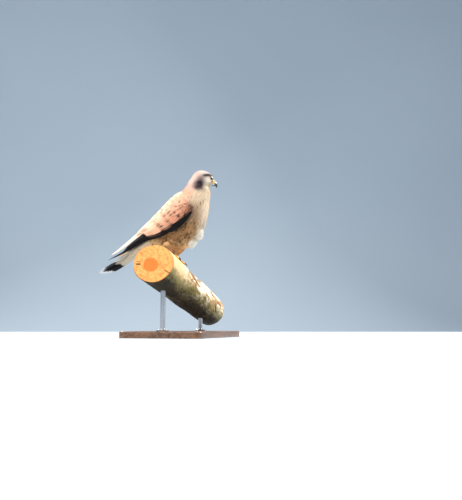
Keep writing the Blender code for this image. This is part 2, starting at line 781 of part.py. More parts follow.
# Legs and feet
def make_thigh(side, mirror, body_cutter, log_cutter, collection):
    top = Vector((17.0, FOOT_SPREAD * mirror, 33.0))
    low = foot_hub(mirror) + Vector((1.0, 0.0, 5.5))
    path = [top.lerp(low, step / 6) for step in range(7)]
    radii = (15.0, 16.0, 15.6, 14.0, 11.4, 8.4, 5.6)
    thigh = put_mesh("thigh_" + side, tube(path, radii, 14), collection)
    cutters = [solid_copy(body_cutter, "cutter", collection), solid_copy(log_cutter, "cutter", collection)]
    combine(thigh, cutters, "DIFFERENCE")
    keep_side(thigh, low, (0.0, 0.0, 1.0))
    return thigh


def foot_hub(mirror):
    """The middle of the foot, over the crest of the log."""
    return log_point(FOOT_SPREAD * mirror, FOOT_ANGLE, TOE_RADIUS + 1.6)


def toe_path(mirror, turn, length, count, lift):
    """Points over the bark from the foot's middle out along a toe."""
    heading = math.radians(turn)
    points = []
    for step in range(count):
        reach = length * step / (count - 1)
        angle = FOOT_ANGLE + math.cos(heading) * reach / (LOG_RADIUS + TOE_RADIUS)
        along = (FOOT_SPREAD + math.sin(heading) * reach) * mirror
        points.append(log_point(along, angle, lift[step]))
    return points


def make_foot(side, mirror, log_cutter, collection):
    hub = foot_hub(mirror)
    foot = put_mesh("foot_" + side, ball(hub, (4.6, 4.4, 3.4), 14, 8), collection)
    added = []
    leg = rod(hub + Vector((1.0, 0.0, 5.5 - GAP)), hub, 2.9, 3.1, 12)
    added.append(put_mesh("tarsus", leg, collection))
    count = 7
    for _, turn, length, _ in TOES:
        lift = [TOE_RADIUS + 1.2 * max(0.0, 1 - step / 3) for step in range(count)]
        path = toe_path(mirror, turn, length, count, lift)
        knuckles = [1.0 + 0.13 * math.cos(2 * math.pi * step / 2.7) for step in range(count)]
        radii = [TOE_RADIUS * (1.05 - 0.25 * step / (count - 1)) * knuckles[step] for step in range(count)]
        added.append(put_mesh("toe", tube(path, radii, 7), collection))
    combine(foot, added, "UNION")
    combine(foot, [solid_copy(log_cutter, "cutter", collection)], "DIFFERENCE")
    return foot


def make_claws(side, mirror, foot, log_cutter, collection):
    """Curved claws that rise from the toes' ends and come down on the bark."""
    claws = {}
    count = 6
    for name, turn, length, claw in TOES:
        shares = [step / (count - 1) for step in range(count)]
        heading = math.radians(turn)
        path = []
        for share in shares:
            reach = length - 0.8 + 0.9 * claw * share
            angle = FOOT_ANGLE + math.cos(heading) * reach / (LOG_RADIUS + TOE_RADIUS)
            along = (FOOT_SPREAD + math.sin(heading) * reach) * mirror
            height = TOE_RADIUS * (1 - share) + 0.5 * share + 1.9 * math.sin(math.pi * share ** 0.75)
            path.append(log_point(along, angle, height))
        radii = [CLAW_ROOT_RADIUS * (1 - share) ** 0.8 + 0.12 for share in shares]
        node = "claw_" + side + "_" + name
        claws[node] = put_mesh(node, tube(path, radii, 6), collection)
        cutters = [solid_copy(log_cutter, "cutter", collection), solid_copy(foot, "cutter", collection, GAP)]
        combine(claws[node], cutters, "DIFFERENCE")
    return claws


# The stand
def round_edges(builder, edges, radius, segments):
    bmesh.ops.bevel(
        builder,
        geom=edges,
        offset=radius,
        offset_type="OFFSET",
        segments=segments,
        profile=0.5,
        affect="EDGES",
        material=-1,
    )


def make_base(collection):
    builder = bmesh.new()
    size = Matrix.Diagonal((BASE_WIDTH, BASE_LENGTH, BASE_THICK, 1.0))
    place = Matrix.Translation((BASE_CENTRE_X, BASE_CENTRE_Y, -PERCH_HEIGHT + BASE_THICK / 2))
    bmesh.ops.create_cube(builder, size=1.0, matrix=place @ size)
    corners = [
        edge for edge in builder.edges if abs(edge.verts[0].co.z - edge.verts[1].co.z) > BASE_THICK / 2
    ]
    round_edges(builder, corners, BASE_CORNER, 6)
    top = -PERCH_HEIGHT + BASE_THICK
    rim = [edge for edge in builder.edges if all(abs(v.co.z - top) < 0.01 for v in edge.verts)]
    round_edges(builder, rim, BASE_EDGE, 3)
    return put_mesh("stand_base", builder, collection)


def make_rods(log_cutter, collection):
    rods = {}
    floor = -PERCH_HEIGHT + BASE_THICK + GAP
    for name, along in ROD_PLACES.items():
        top = log_centre(along)
        builder = rod((0, along, floor), top, ROD_RADIUS, ROD_RADIUS, 24)
        piece = put_mesh("stand_rod_" + name, builder, collection)
        combine(piece, [solid_copy(log_cutter, "cutter", collection)], "DIFFERENCE")
        rods["stand_rod_" + name] = piece
    return rods


def finish(obj, material, smooth_angle=38.0):
    """Moves an object's mesh into the part's frame and gives it its material and shading."""
    obj.data.transform(bird_to_part())
    obj.data.materials.clear()
    obj.data.materials.append(material)
    obj.data.shade_smooth()
    obj.data.set_sharp_from_angle(angle=math.radians(smooth_angle))


WING_TABLE = wing_tables()


def main():
    clear_scene()
    bird = make_collection("common_kestrel")
    nodes = {}
    log = make_log(bird)
    log_cutter = solid_copy(log, "log_cutter", bird, GAP)
    base = make_base(bird)
    nodes.update({"perch_log": (log, "log_bark"), "stand_base": (base, "stand_wood")})
    for name, piece in make_rods(log_cutter, bird).items():
        nodes[name] = (piece, "stand_steel")

    trunk = make_trunk(bird)
    head_form = make_head_form(bird)
    combine(trunk, [head_form], "UNION")
    neck = part_by_plane(trunk, (52.0, 0.0, 119.0), (0.30, 0.0, 0.954), "neck", bird)
    head = part_by_plane(neck, (64.0, 0.0, 138.0), (0.32, 0.0, 0.947), "head", bird)
    back_way = Vector((-math.cos(math.radians(TAIL_FALL)), 0.0, -math.sin(math.radians(TAIL_FALL))))
    tail = part_by_plane(trunk, (-46.0, 0.0, 48.0), back_way, "tail", bird)
    feathers = make_tail_feathers(bird)
    keep_side(feathers, Vector((-46.0, 0.0, 48.0)) + back_way * (GAP / 2), back_way)
    combine(tail, [feathers], "UNION", "MANIFOLD")
    body_cutter = solid_copy(trunk, "body_cutter", bird, GAP)
    tail_cutter = solid_copy(tail, "tail_cutter", bird, GAP)
    neck_cutter = solid_copy(neck, "neck_cutter", bird, GAP)
    nodes.update(
        {
            "torso": (trunk, "feather_cream"),
            "neck": (neck, "feather_cream"),
            "head": (head, "feather_grey"),
            "tail": (tail, "feather_grey"),
        }
    )
    for side, mirror in (("left", 1.0), ("right", -1.0)):
        wing = make_wing(side, (body_cutter, tail_cutter, neck_cutter), bird)
        nodes["wing_" + side] = (wing, "feather_chestnut")
        nodes["thigh_" + side] = (make_thigh(side, mirror, body_cutter, log_cutter, bird), "feather_cream")
        foot = make_foot(side, mirror, log_cutter, bird)
        nodes["foot_" + side] = (foot, "foot_yellow")
        eye = put_mesh("eye_" + side, eyeball(mirror), bird)
        eye.data.transform(head_to_bird())
        nodes["eye_" + side] = (eye, "eye_dark")
        for name, claw in make_claws(side, mirror, foot, log_cutter, bird).items():
            nodes[name] = (claw, "claw_black")
    bill_colours = {"cere": "cere_yellow", "bill_upper": "bill_horn", "bill_lower": "bill_horn"}
    for name, piece in make_bill(bird).items():
        nodes[name] = (piece, bill_colours[name])
    for spare in (log_cutter, body_cutter, tail_cutter, neck_cutter):
        bpy.data.objects.remove(spare, do_unlink=True)
    materials = {name: make_material(name) for name in COLOURS}
    for name, (piece, colour) in nodes.items():
        piece.name = name
        finish(piece, materials[colour])


main()
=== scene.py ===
"""Looks of a life-size male common kestrel, standing on a cut length of log on a plain display stand.

Shapes are worked out in the bird's own frame, in millimetres: X ahead of the breast, Y to the bird's left,
Z up, with the origin on the log's crest between the feet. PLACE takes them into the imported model's frame.
"""

import itertools
import math
import random

import bmesh
import bpy
import numpy as np
from mathutils import Matrix, Vector, noise
from mathutils.bvhtree import BVHTree


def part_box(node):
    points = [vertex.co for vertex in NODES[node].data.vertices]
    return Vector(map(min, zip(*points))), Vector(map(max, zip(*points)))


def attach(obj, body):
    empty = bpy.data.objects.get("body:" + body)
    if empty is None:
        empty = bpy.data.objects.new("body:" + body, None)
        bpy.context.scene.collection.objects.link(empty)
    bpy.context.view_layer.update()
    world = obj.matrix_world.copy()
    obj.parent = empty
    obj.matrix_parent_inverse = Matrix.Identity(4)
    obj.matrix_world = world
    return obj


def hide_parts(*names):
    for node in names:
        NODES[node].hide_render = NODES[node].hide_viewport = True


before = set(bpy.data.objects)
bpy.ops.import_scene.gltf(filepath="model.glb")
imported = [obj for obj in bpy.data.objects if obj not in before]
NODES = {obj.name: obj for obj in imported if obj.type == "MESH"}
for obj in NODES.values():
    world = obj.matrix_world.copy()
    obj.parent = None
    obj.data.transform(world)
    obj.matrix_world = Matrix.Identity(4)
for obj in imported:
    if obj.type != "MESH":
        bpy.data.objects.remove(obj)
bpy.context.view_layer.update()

# Where the bird stands: millimetres and degrees
MM = 0.001
PERCH_HEIGHT = 165.0
BASE_CENTRE_Y = 88.0
BIRD_TURN = -22.0
PLACE = (
    Matrix.Rotation(math.radians(BIRD_TURN), 4, "Z")
    @ Matrix.Scale(MM, 4)
    @ Matrix.Translation((0.0, -BASE_CENTRE_Y, PERCH_HEIGHT))
)
TO_BIRD = PLACE.inverted()
HEAD_CENTRE = Vector((71.0, 0.0, 161.0))
HEAD_TURN = 47.0
HEAD_NOD = 12.0
HEAD_PLACE = (
    Matrix.Translation(HEAD_CENTRE)
    @ Matrix.Rotation(math.radians(HEAD_TURN), 4, "Z")
    @ Matrix.Rotation(math.radians(HEAD_NOD), 4, "Y")
)
TO_HEAD = HEAD_PLACE.inverted()
BILL_ROOT = 21.5
EYE_RADIUS = 6.6
EYE_TURN = 62.0
LID_RADIUS = 5.0

# The log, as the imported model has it
LOG_NEAR = -85.0
LOG_FAR = 262.0
LOG_RADIUS = 40.0
LOG_TAPER = 2.4
LOG_FALL = 13.0
LOG_CUT_TURN = 9.0
# The sawn end's heart: where it lies on the end, its radius, and the step between rings
HEART_ACROSS = 5.0
HEART_DOWN = 3.0
HEART_RADIUS = 14.2
RING_STEP = 2.4

# The body's axis from tail to neck: back x, z; belly x, z
BODY_STATIONS = (
    (-90.0, 23.5, -85.0, 13.0),
    (-80.0, 34.0, -70.0, 14.5),
    (-67.0, 47.5, -50.0, 16.0),
    (-52.0, 63.0, -28.0, 16.0),
    (-37.5, 78.5, -6.0, 14.5),
    (-22.0, 94.5, 18.0, 13.5),
    (-6.0, 109.0, 44.0, 19.5),
    (8.0, 121.0, 65.0, 37.0),
    (19.0, 131.5, 77.5, 64.0),
    (28.5, 141.5, 84.5, 94.0),
    (36.5, 150.8, 86.5, 117.0),
    (40.5, 160.6, 88.5, 133.0),
    (50.5, 168.3, 84.0, 144.5),
)
# The folded wing's edges, front to tip, on the bird's right
WING_UPPER_EDGE = (
    (33.0, -15.0, 138.0),
    (10.0, -14.0, 124.0),
    (-14.0, -10.5, 103.5),
    (-42.0, -6.5, 78.5),
    (-70.0, -4.5, 54.0),
    (-102.0, -6.0, 30.0),
    (-137.0, -12.0, 4.0),
)
WING_LOWER_EDGE = (
    (62.0, -27.0, 103.0),
    (46.0, -36.5, 76.0),
    (18.0, -37.5, 55.0),
    (-12.0, -32.5, 45.0),
    (-46.0, -27.0, 38.0),
    (-89.0, -23.0, 16.0),
    (-137.0, -20.0, -4.5),
)
# How far the wing's outer face arches out, and how thick its body is, at seven places from front to tip
WING_BULGE = (4.0, 13.0, 14.0, 11.5, 8.0, 5.0, 2.0)
WING_THICKNESS = (10.0, 10.0, 9.0, 7.0, 5.0, 3.0, 1.0)
WING_CORE_END = 0.6
# The tail: its root, how far it falls from level and rolls in degrees, and its length
TAIL_ROOT = (-22.0, 0.0, 58.0)
TAIL_FALL = 31.6
TAIL_ROLL = 7.0
TAIL_LENGTH = 163.0
# Toes: name, turn from straight ahead, length, claw length
TOES = (
    ("hind", 180.0, 12.5, 9.0),
    ("inner", 33.0, 17.0, 8.5),
    ("middle", 2.0, 26.0, 8.0),
    ("outer", -32.0, 19.0, 7.0),
)
# Feet: how far each stands from the log's middle, how far down its front, and a toe's radius
FOOT_SPREAD = 17.0
FOOT_ANGLE = math.radians(5.0)
TOE_RADIUS = 2.3
SIDES = {"left": 1.0, "right": -1.0}


def paint(red, green, blue):
    """A paint colour given as a picture's 0 to 255 values, as the shader's own linear values."""
    return tuple(
        value / 255 / 12.92 if value / 255 <= 0.04045 else ((value / 255 + 0.055) / 1.055) ** 2.4
        for value in (red, green, blue)
    )


CROWN = paint(234, 214, 206)
NAPE = paint(244, 202, 184)
# Painted shade for the lower rear cheek
CHEEK_SHADE = paint(58, 44, 48)
BROW = paint(34, 27, 26)
FACE = paint(248, 230, 204)
THROAT = paint(230, 204, 172)
# Grey of the moustache streak, also used as painted shade on the rear cheek
MOUSTACHE_AND_SHADE_GREY = paint(134, 114, 106)
MANTLE = paint(246, 174, 138)
MANTLE_PALE = paint(247, 194, 162)
RUMP = paint(206, 188, 172)
BREAST = paint(238, 212, 182)
BREAST_SIDE = paint(204, 172, 136)
# Buff flank colour with painted shade, darker for the lower sides under the folded wing
SHADED_FLANK = paint(164, 122, 80)
BELLY = paint(246, 206, 154)
TUFT_WHITE = paint(255, 249, 234)
THIGH = paint(226, 174, 118)
VENT = paint(242, 200, 146)
DARK_MARK = paint(44, 24, 16)
# Painted shade where the wing's bend tucks under the breast's side feathers
WRIST_SHADE = paint(92, 60, 48)
CHESTNUT = paint(212, 138, 104)
FLIGHT_DARK = paint(16, 12, 14)
# Pale feather fringes, also used as painted highlight along the wing's upper edge
PALE_FRINGE_AND_HIGHLIGHT = paint(238, 220, 194)
TAIL_ABOVE = paint(196, 190, 184)
TAIL_BELOW = paint(216, 206, 186)
TAIL_BLACK = paint(9, 8, 10)
TAIL_TIP = paint(236, 232, 230)


# Small helpers for shapes
def smooth_rows(rows, count):
    """Rows read evenly along a smooth curve through the given rows, in every column."""
    rows = np.array(rows, float)
    slopes = np.gradient(rows, axis=0)
    places = np.linspace(0.0, len(rows) - 1.0, count)
    first = np.minimum(places.astype(int), len(rows) - 2)
    t = (places - first)[:, None]
    near, far = rows[first], rows[first + 1]
    return (
        near * (1 + 2 * t) * (1 - t) ** 2
        + slopes[first] * t * (1 - t) ** 2
        + far * t * t * (3 - 2 * t)
        + slopes[first + 1] * t * t * (t - 1)
    )


def smoothstep(low, high, value):
    """A soft step from 0 to 1 between low and high; low may be the larger."""
    share = min(max((value - low) / (high - low), 0.0), 1.0)
    return share * share * (3 - 2 * share)


def mix(first, second, share):
    """A colour between two."""
    return tuple(a + (b - a) * share for a, b in zip(first, second))


def shaded(tint, draw, low, high):
    """A colour made a little darker or lighter by chance."""
    shade = draw.uniform(low, high)
    return tuple(value * shade for value in tint)


def blob(point, centre, radius):
    """1 at a centre, falling softly to 0 a little past a radius."""
    return math.exp(-((point - Vector(centre)).length / radius) ** 2)


def new_object(name, data):
    """An object in the scene, at the origin."""
    obj = bpy.data.objects.new(name, data)
    bpy.context.scene.collection.objects.link(obj)
    return obj


def settle(builder, name, matrix=PLACE, smooth=True):
    """A finished piece from a bmesh: faces outwards, moved into the model's frame."""
    bmesh.ops.recalc_face_normals(builder, faces=builder.faces[:])
    mesh = bpy.data.meshes.new(name)
    builder.to_mesh(mesh)
    builder.free()
    mesh.transform(matrix)
    if smooth:
        mesh.shade_smooth()
    return new_object(name, mesh)


def pour(piece, builder):
    """Adds one bmesh to another and frees it."""
    mesh = bpy.data.meshes.new("part")
    piece.to_mesh(mesh)
    piece.free()
    builder.from_mesh(mesh)
    bpy.data.meshes.remove(mesh)


def one_surface(builder, name, voxel):
    """Lapping closed bodies made one skin: a new object, and a bmesh of it with its steps smoothed."""
    mesh = bpy.data.meshes.new(name)
    builder.to_mesh(mesh)
    builder.free()
    obj = new_object(name, mesh)
    remesh = obj.modifiers.new("One surface", "REMESH")
    remesh.mode = "VOXEL"
    remesh.voxel_size = voxel
    bpy.context.view_layer.update()
    graph = bpy.context.evaluated_depsgraph_get()
    made = bpy.data.meshes.new_from_object(obj.evaluated_get(graph))
    obj.modifiers.clear()
    obj.data = made
    fused = bmesh.new()
    fused.from_mesh(made)
    soften(fused, fused.verts[:], 2)
    return obj, fused


def soften(builder, verts, rounds):
    """Evens out some of a surface's points."""
    for _ in range(rounds):
        bmesh.ops.smooth_vert(
            builder, verts=verts, factor=0.5, use_axis_x=True, use_axis_y=True, use_axis_z=True
        )


def note(mesh, label, kind, field, values):
    """Keeps a value for each vertex, for a material to read."""
    layer = mesh.attributes.new(label, kind, "POINT")
    layer.data.foreach_set(field, np.array(values, np.float32).ravel())


def ring_loft(rings, builder):
    """Bridges rings of points into one closed surface."""
    loops = []
    for ring in rings:
        loop = [builder.verts.new(point) for point in ring]
        edges = [builder.edges.new((a, b)) for a, b in zip(loop, loop[1:] + loop[:1])]
        loops.append(edges)
    for near, far in zip(loops, loops[1:]):
        bmesh.ops.bridge_loops(builder, edges=near + far)
    for edges in (loops[0], loops[-1]):
        bmesh.ops.contextual_create(builder, geom=edges)


# The body's axis from tail to neck: its points, the way it runs, and the way from belly to back
AXIS_STEPS = 90
BACK_X, BACK_Z, BELLY_X, BELLY_Z = smooth_rows(BODY_STATIONS, AXIS_STEPS).T
MIDDLE_Y = np.zeros(AXIS_STEPS)
AXIS = np.stack([(BACK_X + BELLY_X) / 2, MIDDLE_Y, (BACK_Z + BELLY_Z) / 2], axis=1)
AXIS_WAY = np.gradient(AXIS, axis=0)
AXIS_WAY /= np.linalg.norm(AXIS_WAY, axis=1)[:, None]
AXIS_UP = np.stack([BACK_X - BELLY_X, MIDDLE_Y, BACK_Z - BELLY_Z], axis=1)
AXIS_UP /= np.linalg.norm(AXIS_UP, axis=1)[:, None]


def along_body(point):
    """How far up the body a point is, 0 at the tail end and 1 at the neck, with the axis's row there."""
    ahead, up = point[0] - AXIS[:, 0], point[2] - AXIS[:, 2]
    # Stations fan out, so a point belongs to the one whose back to belly line it lies on
    across = ahead * AXIS_UP[:, 2] - up * AXIS_UP[:, 0]
    row = int(np.argmin(np.abs(across) + 0.05 * np.hypot(ahead, up)))
    return row / (AXIS_STEPS - 1), row


def unwrap(point):
    """A place in 0 to 1 for a point of the skin: round the body's axis, and along it."""
    share, row = along_body(point)
    off = Vector(point) - Vector(AXIS[row])
    angle = math.atan2(off.y, off.dot(Vector(AXIS_UP[row])))
    around = 0.02 + 0.96 * (angle / (2 * math.pi) + 0.5)
    return around, 0.02 + 0.7 * share + 0.26 * smoothstep(120.0, 190.0, point[2])


# The folded wing's outer face, and its body under the feathers
WING_ROWS = 121
WING_CORE_STEPS = 24
WING_CORE_SIDES = 10
WING_CORE_EDGE = 0.8
WING_UPPER = smooth_rows(WING_UPPER_EDGE, WING_ROWS)
WING_LOWER = smooth_rows(WING_LOWER_EDGE, WING_ROWS)
WING_ARCH = smooth_rows([(value,) for value in WING_BULGE], WING_ROWS)[:, 0]
WING_AHEAD = np.gradient((WING_UPPER + WING_LOWER) / 2, axis=0)


def wing_surface(share, across, height=0.0):
    """A point of the right wing's outer face: share runs front to tip, across runs upper to lower edge."""
    index = min(max(share, 0.0), 1.0) * (WING_ROWS - 1)
    low = min(int(index), WING_ROWS - 2)
    part = index - low
    upper = Vector(WING_UPPER[low]).lerp(Vector(WING_UPPER[low + 1]), part)
    lower = Vector(WING_LOWER[low]).lerp(Vector(WING_LOWER[low + 1]), part)
    bulge = WING_ARCH[low] * (1 - part) + WING_ARCH[low + 1] * part
    chord = lower - upper
    out = chord.cross(Vector(WING_AHEAD[low])).normalized()
    if out.y > 0:
        out = -out
    return upper + chord * across + out * (bulge * max(-0.16, 1 - (2 * across - 1) ** 2) + height)


def wing_core(mirror, sunk):
    """Rings of the wing's fleshy body, its outer face sunk under the feathers."""
    rings = []
    for step in range(WING_CORE_STEPS + 1):
        share = WING_CORE_END * step / WING_CORE_STEPS
        depth = float(np.interp(share * 6, range(7), WING_THICKNESS)) - WING_CORE_EDGE
        drop = sunk * min(1.0, 0.3 + share / 0.06)
        shares = [side / WING_CORE_SIDES for side in range(WING_CORE_SIDES + 1)]
        outer = [wing_surface(share, across, -drop) for across in shares]
        inner = []
        for across in reversed(shares):
            thick = depth * (0.4 + 0.6 * math.sin(math.pi * across))
            inner.append(wing_surface(share, across, -drop - WING_CORE_EDGE - thick))
        rings.append([Vector((p.x, p.y * -mirror, p.z)) for p in outer + inner])
    return rings


# The tail's own frame: X back along it from its root, Y across it, and Z out of its upper face
TAIL_PLACE = (
    Matrix.Translation(TAIL_ROOT)
    @ Matrix.Rotation(math.radians(180.0 - TAIL_FALL), 4, "Y")
    @ Matrix.Rotation(math.radians(TAIL_ROLL), 4, "X")
    @ Matrix.Rotation(math.pi, 4, "X")
)
TAIL_CORE_STEPS = 12
TAIL_CORE_SIDES = 20
TAIL_CORE_LENGTH = 60.0


def tail_core():
    """Rings of the tail's fleshy root, tapering back between the feathers."""
    rings = []
    for step in range(TAIL_CORE_STEPS + 1):
        share = step / TAIL_CORE_STEPS
        across = 12.5 * (1 - 0.5 * share**1.5)
        up = 4.8 * (1 - share) ** 0.8 + 0.8
        sink = -2.0 - 1.5 * share
        ring = []
        for side in range(TAIL_CORE_SIDES):
            angle = 2 * math.pi * side / TAIL_CORE_SIDES
            reach = TAIL_CORE_LENGTH * share
            ring.append(TAIL_PLACE @ Vector((reach, across * math.sin(angle), sink + up * math.cos(angle))))
        rings.append(ring)
    return rings


# Eyes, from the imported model's own nodes
def eye_place(side):
    """An eye's own frame, at its middle, with Z the way it looks."""
    low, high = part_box("eye_" + side)
    turn = math.radians(EYE_TURN)
    look = Vector((math.cos(turn), math.sin(turn) * SIDES[side], 0.06)).normalized()
    look = (HEAD_PLACE.to_3x3() @ look).normalized()
    turned = look.to_track_quat("Z", "Y").to_matrix().to_4x4()
    return Matrix.Translation(TO_BIRD @ ((low + high) / 2)) @ turned


EYES = {side: eye_place(side) for side in SIDES}


# The skin. The bodies are grown a little so that they lap and fuse, and sunk by as much again afterwards
FLESH = ("torso", "neck", "head", "thigh_left", "thigh_right")
SKIN_VOXEL = 0.95
SKIN_GROWTH = 0.3
WING_SUNK = 2.0
# The head keeps its form inside this reach of its middle, and the rest is made softer
HEAD_REACH = 27.0
# Skin points this close share one tint
SKIN_PATCH = 2.2


def coat_depth(point):
    """How deep the skin lies under the plumage's outer surface."""
    head = 1.0 - smoothstep(20.0, 34.0, (point - HEAD_CENTRE).length)
    neck = smoothstep(96.0, 128.0, point.z)
    return 2.4 - 0.7 * neck - 0.8 * head


def make_skin():
    """One skin for head, neck, torso, thighs, the wings' bodies and the tail's root."""
    builder = bmesh.new()
    for name in FLESH:
        piece = bmesh.new()
        piece.from_mesh(NODES[name].data)
        bmesh.ops.remove_doubles(piece, verts=piece.verts[:], dist=1e-6)
        piece.transform(TO_BIRD)
        piece.normal_update()
        for vertex in piece.verts:
            vertex.co += vertex.normal * SKIN_GROWTH
        pour(piece, builder)
    for mirror in SIDES.values():
        ring_loft(wing_core(mirror, WING_SUNK), builder)
    ring_loft(tail_core(), builder)
    bmesh.ops.recalc_face_normals(builder, faces=builder.faces[:])
    obj, builder = one_surface(builder, "skin", SKIN_VOXEL)
    soften(builder, [v for v in builder.verts if (v.co - HEAD_CENTRE).length > HEAD_REACH], 6)
    builder.normal_update()
    moved = [(v, v.normal * (coat_depth(v.co) + SKIN_GROWTH)) for v in builder.verts]
    for vertex, way in moved:
        vertex.co -= way
    builder.normal_update()
    builder.to_mesh(obj.data)
    builder.free()
    return obj


# The markings
# The dark brow, from behind the eye to the bill: places in the head's own frame, and its strength at each
BROW_MARKS = (
    (-4.0, 18.2, 3.2, 0.7),
    (0.5, 17.8, 5.4, 0.95),
    (5.0, 16.6, 7.6, 1.0),
    (9.5, 14.6, 9.2, 1.0),
    (13.5, 12.2, 8.8, 1.0),
    (17.0, 9.2, 5.4, 1.0),
    (16.4, 9.6, 1.4, 0.9),
)
# How far apart the spots and the streaks lie
SPOT_STEP = 5.6
STREAK_STEP = 5.0


def head_tint(point):
    """Plumage colour of the head, in the head's own frame."""
    x, y, z = point
    side = Vector((x, abs(y), z))
    tint = mix(CROWN, NAPE, 0.8 * smoothstep(-2.0, -20.0, x))
    face = smoothstep(3.5, -2.5, z - 0.10 * (x - 10.0)) * smoothstep(-9.0, 3.0, x)
    tint = mix(tint, FACE, face)
    tint = mix(tint, THROAT, smoothstep(-14.0, -24.0, z) * smoothstep(-16.0, -2.0, x))
    # Painted shade: the rear cheek and the side of the neck below it are greyed where shade falls
    rear_cheek_shade = max(0.8 * blob(side, (-9.0, 17.5, -5.0), 8.0), 0.6 * blob(side, (-17.0, 10.0, -22.0), 9.0))
    tint = mix(tint, MOUSTACHE_AND_SHADE_GREY, min(1.0, rear_cheek_shade))
    # Painted shade: the dark patch low on the rear cheek is the cheek's shadow, not a marking
    patch = max(blob(side, (-8.5, 14.5, -15.5), 9.6), 0.8 * blob(side, (-13.0, 13.5, -20.5), 8.4))
    tint = mix(tint, CHEEK_SHADE, min(1.0, 1.3 * patch))
    # The real moustache streak below the front of the eye, in the same grey
    tint = mix(tint, MOUSTACHE_AND_SHADE_GREY, 0.35 * blob(side, (11.5, 10.5, -9.0), 4.5))
    brow = max(blob(side, place, 3.5) * strength for *place, strength in BROW_MARKS)
    return mix(tint, BROW, min(1.0, 1.7 * brow))


def body_tint(point, share, back):
    """Plumage colour of neck, torso and thighs, and the strength of its spots and streaks."""
    x, y, z = point
    side = smoothstep(4.0, 26.0, abs(y))
    ahead = smoothstep(0.0, 16.0, x - 0.16 * (z - 60.0) - 66.0 + 12.0 * (1 - side))
    low = 1 - smoothstep(62.0, 100.0, z)
    front = mix(BREAST_SIDE, BREAST, max(ahead, 0.8 * smoothstep(100.0, 130.0, z)))
    # Partly painted shade: the lower sides, away from the front, take the darker flank brown
    front = mix(front, SHADED_FLANK, low * (1 - ahead) * (0.25 + 0.75 * side))
    belly = (1 - smoothstep(24.0, 46.0, z)) * smoothstep(24.0, 44.0, x) * (1 - 0.5 * side)
    front = mix(front, BELLY, belly)
    front = mix(front, THROAT, 0.75 * smoothstep(122.0, 142.0, z))
    thigh = (1 - smoothstep(20.0, 34.0, z)) * smoothstep(-24.0, -4.0, x) * (1 - belly)
    front = mix(front, THIGH, thigh)
    vent = smoothstep(4.0, -20.0, x) * (1 - smoothstep(34.0, 46.0, z))
    front = mix(front, VENT, vent)
    clouds = smoothstep(-0.25, 0.35, noise.noise(Vector((x, y, 0.6 * z)) * 0.11))
    front = mix(front, tuple(value * 0.70 for value in front), clouds * low * (1 - belly) * (1 - 0.5 * vent))
    top = mix(MANTLE_PALE, RUMP, 1 - smoothstep(0.12, 0.30, share))
    top = mix(top, NAPE, smoothstep(0.80, 0.94, share))
    tint = mix(front, top, back)
    # Painted shade on the breast's side over the bend of the wing
    wrist_shade = blob(Vector((x, abs(y), z)), (55.0, 32.0, 95.0), 15.0)
    tint = mix(tint, WRIST_SHADE, min(1.0, 1.1 * wrist_shade))
    spot = 0.7 * back * smoothstep(0.25, 0.45, share) * (1 - smoothstep(0.74, 0.84, share))
    streak = (1 - back) * (1 - vent) * (1 - 0.7 * thigh) * (1 - smoothstep(118.0, 132.0, z))
    streak *= 1 - 0.7 * belly
    streak *= (0.45 + 0.55 * side) * (1 - 0.5 * ahead)
    return tint, (spot + streak * low, streak * (1 - low))


def dark_marks(point, marks):
    """How dark a feather's tip is: round spots on flanks and back, long drops on the breast."""
    spot, streak = marks
    round_gap = noise.voronoi(Vector(point) / SPOT_STEP)[0][0] * SPOT_STEP
    x, y, z = point
    place = Vector((x, y, 0.42 * z)) / STREAK_STEP + Vector((7.0, 3.0, 1.0))
    long_gap = noise.voronoi(place)[0][0] * STREAK_STEP
    round_spot = 1.2 * spot * smoothstep(2.6, 1.9, round_gap)
    return min(1.0, max(round_spot, streak * smoothstep(1.8, 1.0, long_gap)))


def feather_size(point):
    """Feather length, half width and spacing at a place on the skin."""
    low = 1 - smoothstep(36.0, 90.0, point.z)
    neck = smoothstep(108.0, 140.0, point.z)
    length = 10.5 + 3.5 * low - 3.0 * neck
    half = 1.45 + 0.35 * low - 0.45 * neck
    spacing = 1.42 + 0.26 * low - 0.28 * neck
    if point.z > 136.0:
        near_head = 1.0 - smoothstep(19.5, 30.0, (point - HEAD_CENTRE).length)
        face = smoothstep(2.0, 17.0, (TO_HEAD @ point).x)
        length = length * (1 - near_head) + (5.2 - 3.0 * face) * near_head
        half = half * (1 - near_head) + (0.74 - 0.30 * face) * near_head
        spacing = spacing * (1 - near_head) + (0.92 - 0.26 * face) * near_head
    if point.z < 38.0:
        leg = (1 - smoothstep(24.0, 38.0, point.z)) * smoothstep(-12.0, -2.0, point.x)
        length = length * (1 - leg) + 9.0 * leg
        half = half * (1 - leg) + 1.5 * leg
        spacing = spacing * (1 - leg) + 1.5 * leg
    return length, half, spacing


def plumage(point, normal):
    """Tint and the strength of (spots, streaks) at a place on the skin."""
    share, row = along_body(point)
    up = Vector(AXIS_UP[row])
    over = (point - Vector(AXIS[row])).dot(up)
    back = smoothstep(-0.10, 0.30, normal.dot(up)) * smoothstep(-6.0, 5.0, over)
    tint, marks = body_tint(point, share, back)
    reach = (point - HEAD_CENTRE).length
    dressed = (1.0 - smoothstep(27.0, 36.0, reach)) * smoothstep(126.0, 136.0, point.z)
    if dressed > 0.0:
        tint = mix(tint, head_tint(TO_HEAD @ point), dressed)
        marks = tuple(value * (1 - dressed) for value in marks)
    return tint, marks


